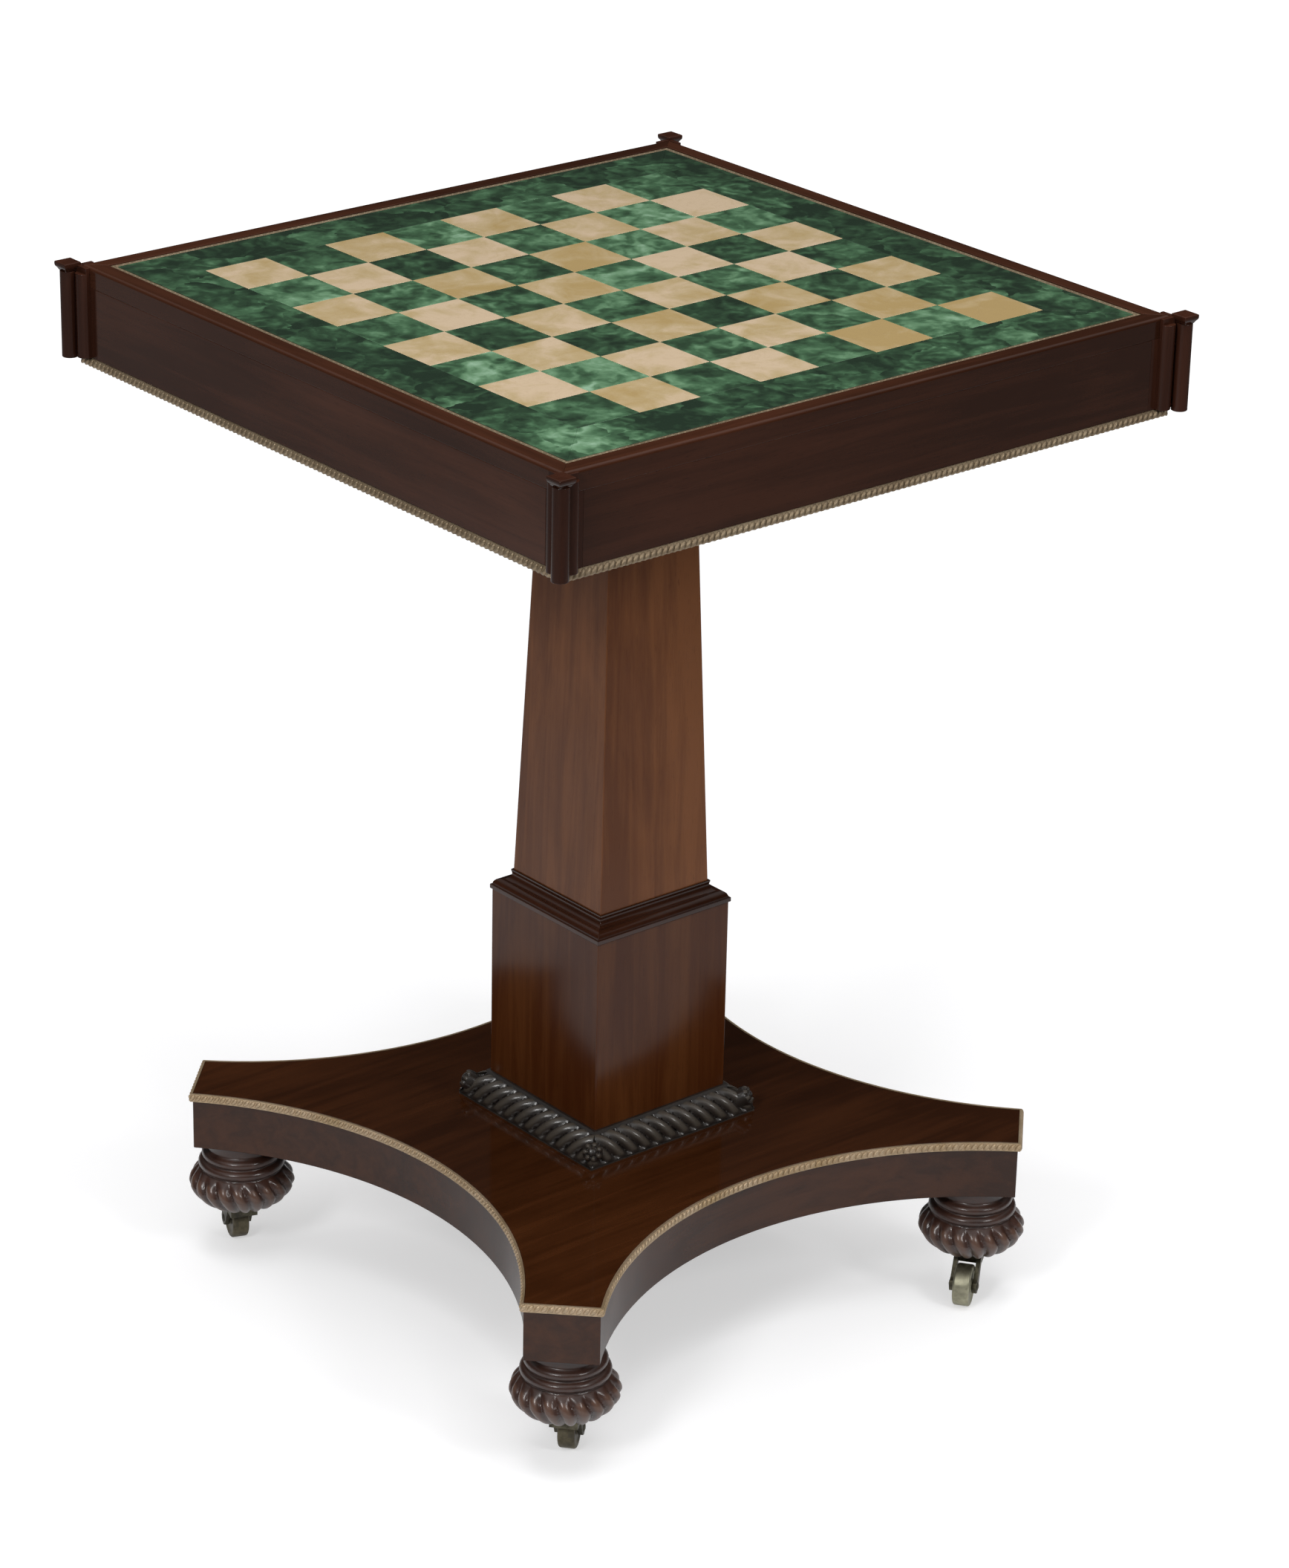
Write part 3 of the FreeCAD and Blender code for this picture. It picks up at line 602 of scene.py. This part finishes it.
# The platform's rope follows each hollow side, an arc about a centre far outside, then the arm's end.
# The arc ends ARM_NEAR to either side and ARM_FAR out from the table's middle, and comes in to WAIST.
ARM_NEAR = 188.45 * MM
ARM_FAR = 224.51 * MM
WAIST = 149.0 * MM
CURVE = (ARM_NEAR ** 2 + (ARM_FAR - WAIST) ** 2) / (2 * (ARM_FAR - WAIST))
ROPE_BELOW = 3.0 * MM
ROPE_PROUD = 1.5 * MM
ARM_STEPS = 30
END_OUT = 293.5 * MM
END_HALF = 25.5 * MM
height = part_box("platform_side_bead")[1].z - ROPE_BELOW
half_angle = math.asin(ARM_NEAR / CURVE)
rope = {"Pitch": 4.4 * MM, "Length": 6.6 * MM, "Width": 3.0 * MM, "Proud": ROPE_PROUD, "Lean": TWIST}
arc = []
for step in range(2 * ARM_STEPS + 1):
    angle = half_angle * (step / ARM_STEPS - 1)
    radius = CURVE - ROPE_PROUD
    arc.append((radius * math.sin(angle), -WAIST - CURVE + radius * math.cos(angle), height))
end = [(-END_HALF, -END_OUT, height), (END_HALF, -END_OUT, height)]
ropes = []
for turn in range(4):
    ropes.append(beading.shape(path_of(round_table(turn * QUARTER, arc)), "rope", gilt, rope))
    ropes.append(beading.shape(path_of(round_table((turn + 0.5) * QUARTER, end)), "rope", gilt, rope))
dress(joined(ropes, "platform_bead_rope"), gilt, "gilt", "table")


# Corner posts. Each closes the angle of two friezes with three reeds, the middle one on the corner itself,
# which runs up past the rim into a small square cap.

CORNERS = ("front_left", "front_right", "back_right", "back_left")


def skinned(shape, rings):
    """A closed form over rings of points, each above the last."""
    rings = [[shape.verts.new(point) for point in ring] for ring in rings]
    for low, high in zip(rings, rings[1:]):
        for a, b, c, d in zip(low, low[1:] + low[:1], high[1:] + high[:1], high):
            shape.faces.new((a, b, c, d))
    shape.faces.new(rings[0][::-1])
    shape.faces.new(rings[-1])


def turned(profile, steps=40):
    """A closed form turned about the Z axis from (radius, height) points."""
    shape = bmesh.new()
    angles = [math.tau * step / steps for step in range(steps)]
    skinned(shape, [[(radius * math.cos(angle), radius * math.sin(angle), height) for angle in angles]
                    for radius, height in profile])
    bmesh.ops.recalc_face_normals(shape, faces=shape.faces)
    return shape


def arc_profile(centre_radius, centre_height, radius, start, stop, steps=8):
    """Points of a round member of a turned profile, between two angles in degrees from straight out."""
    points = []
    for step in range(steps + 1):
        angle = math.radians(start + (stop - start) * step / steps)
        points.append((centre_radius + radius * math.cos(angle),
                       centre_height + radius * math.sin(angle)))
    return points


def put_in(shape, part, place):
    """Adds a finished part to a piece."""
    part.transform(place)
    mesh = bpy.data.meshes.new("part")
    part.to_mesh(mesh)
    part.free()
    shape.from_mesh(mesh)
    bpy.data.meshes.remove(mesh)


def block(low, high):
    part = bmesh.new()
    for vert in bmesh.ops.create_cube(part, size=1.0)["verts"]:
        vert.co = Vector([b if c > 0 else a for a, b, c in zip(low, high, vert.co)])
    return part


HALF_TOP = 255.0 * MM
REED = 5.5 * MM
REED_PITCH = 2 * REED
frieze_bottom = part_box("frieze_front")[0].z
board_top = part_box("top_board")[1].z
rim_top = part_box("rim_front")[1].z
cap_bottom = rim_top - 4.5 * MM
facing_top = rim_top - 0.3 * MM
corner_reed_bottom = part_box("corner_post_front_left")[0].z
at_corner = -HALF_TOP - 6.5 * MM
at_face = -HALF_TOP - 1.5 * MM
outside = -HALF_TOP - 3.0 * MM
faced = -HALF_TOP + 10.0 * MM
core = -HALF_TOP + 16.0 * MM
REEDS = ((at_corner, at_corner, corner_reed_bottom), (at_face, at_corner + REED_PITCH, frieze_bottom),
         (at_corner + REED_PITCH, at_face, frieze_bottom))
FACINGS = (((-HALF_TOP, -HALF_TOP, frieze_bottom), (core, core, board_top)),
           ((outside, outside, frieze_bottom), (faced, faced, board_top)),
           ((outside, outside, board_top), (faced, -HALF_TOP, facing_top)),
           ((outside, -HALF_TOP, board_top), (-HALF_TOP, faced, facing_top)))
# The cap is square, with an ovolo under its flat top: (width, height) in millimetres.
CAP = [(8.8, 0.0), (9.4, 0.7), (10.6, 1.7), (12.2, 2.6), (12.8, 3.4), (13.0, 4.3), (13.0, 5.4), (12.4, 6.0),
       (8.0, 6.3)]
for number, corner in enumerate(CORNERS):
    shape = bmesh.new()
    for x, y, start in REEDS:
        put_in(shape, turned([(REED, start), (REED, cap_bottom)]), Matrix.Translation((x, y, 0)))
    for low, high in FACINGS:
        put_in(shape, block(low, high), Matrix())
    cap = bmesh.new()
    rings = []
    for width, height in CAP:
        half = width / 2 * MM
        rings.append([(x, y, cap_bottom + height * MM)
                      for x, y in ((-half, -half), (half, -half), (half, half), (-half, half))])
    skinned(cap, rings)
    put_in(shape, cap, Matrix.Translation((at_corner, at_corner, 0)))
    shape.transform(Matrix.Rotation(number * QUARTER, 4, "Z"))
    post = eased(shown(shape, "post"), 0.3 * MM, f"corner_post_{corner}_finished")
    dress(post, mahogany["z"], "mahogany", "table", f"corner_post_{corner}")


# Gadroon. A quarter round carved with raked lobes runs round the plinth's foot, mitred, with a round stud
# over each mitre. It is ebonised: stained black and polished.

def stained_carving(name, dark, light, painted_crest_highlight, share):
    """Wood stained nearly black and polished, with a paler painted highlight on the crests of the carving."""
    finish = Finish(name, {"IOR": 1.4, "Coat Roughness": 0.24, "Coat IOR": 1.5})
    rub = finish.noise(finish.place, 90.0, 4.0, 0.6).out("Fac")
    pore = finish.noise(finish.stretched((1100.0, 1100.0, 120.0)), 1.0, 2.0).out("Fac")
    crest = finish.add("ShaderNodeAttribute", {"attribute_name": "crest"}).out("Fac").rise(0.55, 1.0)
    colour = finish.ramp(rub, [(0.30, dark), (0.72, light)])
    # Painted highlight: the crests take the paler colour.
    colour = finish.mixed(share * crest, colour, painted_crest_highlight)
    finish.paint(color=colour, roughness=0.40 + 0.20 * rub, coat=0.88 - 0.25 * rub)
    finish.relief(0.8 * rub + 0.2 * pore, 0.00035)
    return finish.material


# Its third colour is the painted highlight on the crests.
ebony = stained_carving(
    "ebonised_wood", (0.012, 0.0088, 0.0070), (0.030, 0.0222, 0.0174), (0.100, 0.082, 0.062), 0.55)


def carving_tree():
    """Cuts lobes into a smooth form along its normals. The form says how far round and up each point is,
    and how much of the depth is cut there."""
    tree = Shaper("carving", ("Lobes", "Depth", "Rake"))
    named = {name: tree.add("GeometryNodeInputNamedAttribute", {"data_type": "FLOAT"}, {"Name": name})
             for name in ("around", "up", "cut")}
    turn = named["around"] * tree.given.out("Lobes") + named["up"] * tree.given.out("Rake")
    valley = 1 - abs((turn * math.pi).wave()) ** 0.7
    depth = valley * named["cut"] * tree.given.out("Depth") * -1.0
    normal = tree.add("GeometryNodeInputNormal")
    offset = tree.add("ShaderNodeVectorMath", {"operation": "SCALE"}, {"Vector": normal, "Scale": depth})
    crest = named["cut"] * (1 - valley)
    marked = tree.add("GeometryNodeStoreNamedAttribute", {"data_type": "FLOAT"},
                      {"Geometry": tree.given.out("Geometry"), "Name": "crest", "Value": crest})
    tree.end(tree.add("GeometryNodeSetPosition", None, {"Geometry": marked, "Offset": offset}))
    return tree


carving = carving_tree()


def form(point, cut, across_steps, up_steps, closed):
    """A smooth sheet of points (round, up), each share from 0 to 1, with what the carving needs to know."""
    shape = bmesh.new()
    layers = {key: shape.verts.layers.float.new(key) for key in ("around", "up", "cut")}
    rows = []
    for row in range(up_steps + 1):
        up = row / up_steps
        verts = []
        for step in range(across_steps + (0 if closed else 1)):
            around = step / across_steps
            vert = shape.verts.new(point(around, up))
            vert[layers["around"]], vert[layers["up"]], vert[layers["cut"]] = around, up, cut(around, up)
            verts.append(vert)
        rows.append(verts)
    for low, high in zip(rows, rows[1:]):
        next_low, next_high = low[1:], high[1:]
        if closed:
            next_low, next_high = next_low + low[:1], next_high + high[:1]
        for a, b, c, d in zip(low, next_low, next_high, high):
            shape.faces.new((a, b, c, d))
    for face in shape.faces:
        face.smooth = True
    return shown(shape, "sheet")


HALF_PLINTH = 58.5 * MM
GADROON = 16.0 * MM
FILLET = 2.0 * MM
LOBE_WIDTH = 11.6 * MM
LOBE_DEPTH = 4.0 * MM
RAKE = 15.0 * MM
LOBES = 2 * (HALF_PLINTH + GADROON) / LOBE_WIDTH
STEPS_TO_A_LOBE = 18
lobes_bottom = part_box("plinth")[0].z + FILLET
lobes_top = lobes_bottom + GADROON


def gadroon_point(around, up):
    """From the foot of the quarter round, under its lower fillet, up to the plinth's face."""
    angle = QUARTER * up
    out = HALF_PLINTH + GADROON * math.cos(angle)
    run = (HALF_PLINTH + GADROON) * (2 * around - 1)
    return Vector((max(-out, min(out, run)), -out, lobes_bottom + GADROON * math.sin(angle)))


def gadroon_cut(around, up):
    """The lobes start just above the lower fillet and run out just below the upper one."""
    return min(1, 8 * up, 8 * (1 - up)) ** 0.5


# A plain fillet lies under the lobes and another over them: how far out, bottom and top.
LOWER_FILLET_BACK = 0.3 * MM
UPPER_FILLET_SUNK = 1.0 * MM
INTO_PLINTH = 0.5 * MM
FILLETS = ((HALF_PLINTH + GADROON - LOWER_FILLET_BACK, lobes_bottom - FILLET, lobes_bottom),
           (HALF_PLINTH + FILLET, lobes_top - UPPER_FILLET_SUNK, lobes_top + FILLET))
for number, side in enumerate(SIDES):
    sheet = form(gadroon_point, gadroon_cut, math.ceil(LOBES) * STEPS_TO_A_LOBE, 20, False)
    rake = RAKE / LOBE_WIDTH * (1 if side in ("front", "back") else -1)
    carved = carving.shape(sheet, "lobes", ebony, {"Lobes": LOBES, "Depth": LOBE_DEPTH, "Rake": rake})
    strip = bmesh.new()
    strip.from_mesh(carved.data)
    bpy.data.objects.remove(carved)
    inner = HALF_PLINTH - INTO_PLINTH
    for out, bottom, top in FILLETS:
        corners = [(-out, -out), (out, -out), (inner, -inner), (-inner, -inner)]
        skinned(strip, [[(x, y, height) for x, y in corners] for height in (bottom, top)])
    bmesh.ops.recalc_face_normals(strip, faces=strip.faces)
    strip.transform(Matrix.Rotation(number * QUARTER, 4, "Z"))
    length = eased(shown(strip, "strip"), 0.35 * MM, f"gadroon_{side}_carved", 60.0)
    dress(length, ebony, "ebonised_wood", "table", f"gadroon_{side}")


def on_profile(profile, around, up):
    """A point of a turned form: round by one share, and along its (radius, height) points by another."""
    place = up * (len(profile) - 1)
    before = min(int(place + 1e-9), len(profile) - 2)
    share = place - before
    radius, height = (a + (b - a) * share for a, b in zip(profile[before], profile[before + 1]))
    angle = math.tau * around
    return Vector((radius * math.cos(angle), radius * math.sin(angle), height))


STUD = 7.0 * MM
STUD_TILT = math.radians(60)
STUD_CARVING = {"Lobes": 7.0, "Depth": 1.5 * MM, "Rake": 0.0}
# A drum comes out from the mitre, rounds over, and sinks to a button in the middle:
# (share of the radius, distance out in millimetres).
STUD_LINE = [(share * STUD, out * MM) for share, out in (
    (1.0, 10.0), (1.0, 18.6), (0.97, 20.4), (0.86, 21.8), (0.68, 22.4), (0.52, 21.7), (0.43, 21.2),
    (0.38, 22.4), (0.26, 23.0), (0.10, 23.2), (0.0000143, 23.2))]


def stud_point(around, up):
    return on_profile(STUD_LINE, around, up)


def stud_cut(around, up):
    """Only the drum's rounded edge is carved."""
    return 1.0 if 0.15 < up < 0.58 else 0.0


studs = []
for number in range(4):
    stud = carving.shape(form(stud_point, stud_cut, 96, 40, True), "stud", ebony, STUD_CARVING)
    place = (Matrix.Rotation(number * QUARTER, 4, "Z")
             @ Matrix.Translation((-HALF_PLINTH, -HALF_PLINTH, lobes_bottom))
             @ Matrix.Rotation(-QUARTER / 2, 4, "Z") @ Matrix.Rotation(STUD_TILT, 4, "X"))
    stud.data.transform(place)
    studs.append(stud)
dress(joined(studs, "gadroon_studs_carved"), ebony, "ebonised_wood", "table", "gadroon_studs")


# Bun feet. Each is turned in one piece: a neck with two rings over a flat bun, whose lobes are carved with
# a rake. It is screwed up into the arm of the platform, and stained dark, but browner than the gadroon.

def through(points, steps):
    """A smooth line through points, without their first and last legs."""
    line = []
    for four in zip(points, points[1:], points[2:], points[3:]):
        for step in range(steps):
            t = step / steps
            line.append(tuple(
                0.5 * (2 * b + (c - a) * t + (2 * a - 5 * b + 4 * c - d) * t ** 2
                       + (3 * b - a - 3 * c + d) * t ** 3)
                for a, b, c, d in zip(*four)))
    return line + [points[-2]]


foot_low, foot_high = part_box("foot_front_left")
foot_bottom = foot_low.z
BUN = 37.8 * MM
BUN_HEIGHT = 30.0 * MM
# The bun's outline, in shares of its radius and its height.
bun_line = through([(out * BUN, foot_bottom + up * BUN_HEIGHT) for out, up in (
    (0.10, -0.10), (0.38, 0.0), (0.66, 0.10), (0.87, 0.30), (0.985, 0.52), (0.995, 0.66), (0.94, 0.82),
    (0.80, 0.985), (0.60, 1.10))], 7)
rings_bottom = foot_bottom + BUN_HEIGHT
neck_line = through([
    (26.5 * MM, rings_bottom + 15.0 * MM), (24.4 * MM, rings_bottom + 15.8 * MM),
    (24.0 * MM, rings_bottom + 19.0 * MM), (25.0 * MM, foot_high.z - 0.2 * MM), (27.0 * MM, foot_high.z)], 5)
foot_line = [
    (0.0002 * MM, foot_bottom), *bun_line,
    *arc_profile(27.4 * MM, rings_bottom + 3.75 * MM, 3.6 * MM, -75, 75, 9),
    *arc_profile(25.0 * MM, rings_bottom + 11.25 * MM, 3.5 * MM, -75, 75, 9),
    *neck_line,
]
bun_share = (1 + len(bun_line)) / len(foot_line)


def foot_point(around, up):
    return on_profile(foot_line, around, up)


def foot_cut(around, up):
    """The lobes fade out under the foot and below the rings."""
    share = up / bun_share
    if share >= 1:
        return 0.0
    return min(1.0, 4.0 * share, 6.0 * (1 - share))


# Its third colour is the painted highlight on the crests of the lobes.
foot_stain = stained_carving(
    "dark_stained_wood", (0.024, 0.0082, 0.0044), (0.054, 0.0205, 0.0120), (0.135, 0.070, 0.045), 0.60)
FOOT_OUT = 185.262 * MM
FOOT_LOBES = 20
STEPS_TO_A_FOOT_LOBE = 12
FOOT_CARVING = {"Lobes": float(FOOT_LOBES), "Depth": 3.4 * MM, "Rake": 1.6}
for number, corner in enumerate(CORNERS):
    sheet = form(foot_point, foot_cut, FOOT_LOBES * STEPS_TO_A_FOOT_LOBE, len(foot_line) - 1, True)
    foot = carving.shape(sheet, f"foot_{corner}_carved", foot_stain, FOOT_CARVING)
    in_arm = Matrix.Translation((-FOOT_OUT, -FOOT_OUT, 0))
    foot.data.transform(Matrix.Rotation(number * QUARTER, 4, "Z") @ in_arm)
    dress(foot, foot_stain, "ebonised_wood", "table", f"foot_{corner}")


# Casters. Brass: a plate with a pivot under each foot, a horn that swivels on it, and a solid roller
# on a riveted axle. The front right roller is in brighter brass, the other three in darker brass.

def old_brass(name, dull, bright, worn):
    finish = Finish(name, {})
    patina = finish.noise(finish.place, 180.0, 5.0, 0.65).out("Fac")
    grime = finish.noise(finish.place, 60.0, 3.0, 0.6).out("Fac").rise(0.45, 0.70)
    left_on = (1 - worn) * grime
    colour = finish.mixed(left_on, finish.ramp(patina, [(0.30, dull), (0.70, bright)]), (0.025, 0.022, 0.016))
    finish.paint(color=colour, metallic=0.95 - 0.5 * left_on, roughness=0.30 + 0.30 * patina)
    finish.relief(patina, 0.00015)
    return finish.material


horn_brass = old_brass("horn_brass", (0.050, 0.046, 0.032), (0.16, 0.145, 0.10), 0.15)
bright_brass = old_brass("bright_brass", (0.28, 0.27, 0.19), (0.52, 0.50, 0.36), 0.75)
dark_brass = old_brass("dark_brass", (0.085, 0.074, 0.048), (0.19, 0.165, 0.11), 0.35)
eased_node("caster_sockets", 0.4 * MM, horn_brass, "brass")
joints = {joint["name"]: joint for joint in frame["joints"]}
RIVET_OUT = 9.8 * MM
# Turned about the axle, as (radius, distance along it) in millimetres: a rivet's head, and the near half
# of the roller from its bore to its tread.
RIVET_LINE = [(r * MM, z * MM) for r, z in ((3.0, -0.3), (3.0, 0.2), (2.4, 0.6), (1.3, 0.9), (0.01, 1.0))]
HALF_ROLLER = [(r * MM, z * MM) for r, z in (
    (2.55, -6.0), (5.0, -6.0), (5.4, -5.5), (10.6, -5.5), (11.2, -6.0))]
HALF_ROLLER += arc_profile(13.4 * MM, -4.4 * MM, 1.6 * MM, -90, 0, 6)
ROLLER_LINE = HALF_ROLLER + [(radius, -along) for radius, along in reversed(HALF_ROLLER)]
for corner in CORNERS:
    roll = joints["roll_" + corner]
    axis = Vector(roll["axis"]).normalized()
    centre = Vector(roll["pos_m"])
    upright = axis.to_track_quat("Z", "Y").to_matrix().to_4x4()
    horn = eased(shown(merged("caster_horn_" + corner), "horn"), 0.7 * MM, "horn")
    shape = bmesh.new()
    shape.from_mesh(horn.data)
    bpy.data.objects.remove(horn)
    for outward in (-axis, axis):
        facing = outward.to_track_quat("Z", "Y").to_matrix().to_4x4()
        put_in(shape, turned(RIVET_LINE, 20), Matrix.Translation(centre + outward * RIVET_OUT) @ facing)
    horn = shown(shape, f"caster_horn_{corner}_finished")
    dress(horn, horn_brass, "brass", "horn_" + corner, "caster_horn_" + corner)
    wheel = turned(ROLLER_LINE, 64)
    wheel.transform(Matrix.Translation(centre) @ upright)
    wheel = shown(wheel, f"caster_wheel_{corner}_finished")
    for face in wheel.data.polygons:
        face.use_smooth = True
    wheel.data.set_sharp_from_angle(angle=math.radians(40))
    roller_brass = bright_brass if corner == "front_right" else dark_brass
    dress(wheel, roller_brass, "brass", "wheel_" + corner, "caster_wheel_" + corner)


# Studio. A pale floor under soft light from above and from both sides, and the camera that took the
# photograph, above the front left corner.

FLOOR_REACH = 12.0
floor_shape = bmesh.new()
bmesh.ops.create_grid(floor_shape, x_segments=1, y_segments=1, size=FLOOR_REACH)
floor = shown(floor_shape, "floor")
paper = bpy.data.materials.new("floor_paper")
paper.use_nodes = True
paper_tree = Tree(paper.node_tree)
paper.node_tree.nodes.clear()
rays = paper_tree.add("ShaderNodeLightPath")
straight = rays.out("Is Camera Ray")
seen = straight + rays.out("Is Glossy Ray") + rays.out("Is Transmission Ray")
seen = seen.math("MINIMUM", seen, 1.0)
spot = paper_tree.add("ShaderNodeTexCoord").out("Object")
distance = paper_tree.add("ShaderNodeVectorMath", {"operation": "LENGTH"}, {"Vector": spot}).out("Value")
far = distance.rise(0.95, 2.1)
shade = paper_tree.add("ShaderNodeMix", {"data_type": "RGBA"},
                       {"Factor": far, "A": (0.60, 0.60, 0.61, 1), "B": (0.10, 0.10, 0.10, 1)})
matt = paper_tree.add("ShaderNodeBsdfDiffuse", None, {"Color": shade})
spot_parts = paper_tree.add("ShaderNodeSeparateXYZ", None, {"Vector": spot})
to_left = (spot_parts.out("Y") - spot_parts.out("X")).rise(-1.0, 1.0)
beside = distance.rise(0.60, 0.95)
# The paper looks white to the camera. For glossy rays it glows faintly, a painted reflection in the polish:
# most close by and to the left.
painted_reflection_glow = 0.30 * to_left.math("MAXIMUM", to_left, 0.85 * (1 - beside)) * (1 - far)
painted_reflection_glow = painted_reflection_glow + (0.08 + 0.10 * to_left) * far
strength = straight * (0.50 + 0.60 * far) + (seen - straight) * painted_reflection_glow
glow = paper_tree.add("ShaderNodeEmission", None, {"Color": (1, 1, 1, 1), "Strength": strength})
both = paper_tree.add("ShaderNodeAddShader", None, {0: matt, 1: glow})
paper_tree.add("ShaderNodeOutputMaterial", None, {"Surface": both})
floor.data.materials.append(paper)

world = bpy.data.worlds.new("studio")
world.use_nodes = True
bpy.context.scene.world = world
sky = Tree(world.node_tree)
direction = sky.add("ShaderNodeTexCoord").out("Generated")
up = sky.add("ShaderNodeSeparateXYZ", None, {"Vector": direction}).out("Z")
backdrop = world.node_tree.nodes["Background"]
backdrop.inputs["Color"].default_value = (1, 1, 1, 1)
# The camera sees plain white. The table is lit, and mirrors light, only from high up.
straight = sky.add("ShaderNodeLightPath").out("Is Camera Ray")
sky.feed(backdrop.inputs["Strength"], straight + (1 - straight) * (0.015 + 0.78 * up.rise(0.42, 1.0)))
LAMPS_AIM = Vector((0, 0, 0.4))


def softbox(name, place, size, power):
    """A rectangular lamp turned to the middle of the table."""
    lamp = bpy.data.lights.new(name, "AREA")
    lamp.shape = "RECTANGLE"
    lamp.size, lamp.size_y = size
    lamp.energy = power
    thing = bpy.data.objects.new(name, lamp)
    thing.location = place
    thing.rotation_euler = (LAMPS_AIM - Vector(place)).to_track_quat("-Z", "Y").to_euler()
    bpy.context.scene.collection.objects.link(thing)
    return thing


# The overhead lamp has no mirror image in the stone.
softbox("overhead", (-0.2, -0.3, 2.6), (1.8, 1.8), 46).visible_glossy = False
softbox("left", (-2.3, -1.0, 2.0), (0.6, 0.6), 28)
softbox("right", (0.3, -2.6, 1.9), (0.6, 0.6), 20)

PHOTO_WIDTH = 1736
FOCAL = 6477.21
CAMERA_PLACE = Vector((-1944.0, -2330.7, 1699.9)) * MM
azimuth, elevation, roll = (math.radians(angle) for angle in (-40.25, 23.5, 1.24))
flat = math.cos(elevation)
away = Vector((math.sin(azimuth) * flat, -math.cos(azimuth) * flat, math.sin(elevation)))
level = Vector((math.cos(azimuth), math.sin(azimuth), 0))
upward = away.cross(level)
right = math.cos(roll) * level + math.sin(roll) * upward
top = math.cos(roll) * upward - math.sin(roll) * level
camera = bpy.data.cameras.new("camera")
camera.sensor_fit = "HORIZONTAL"
camera.lens = camera.sensor_width * FOCAL / PHOTO_WIDTH
camera.clip_end = 60
viewer = bpy.data.objects.new("camera", camera)
facing = Matrix((right, top, away)).transposed().to_4x4()
viewer.matrix_world = Matrix.Translation(CAMERA_PLACE) @ facing
bpy.context.scene.collection.objects.link(viewer)
bpy.context.scene.camera = viewer
bpy.context.scene.view_settings.view_transform = "Standard"
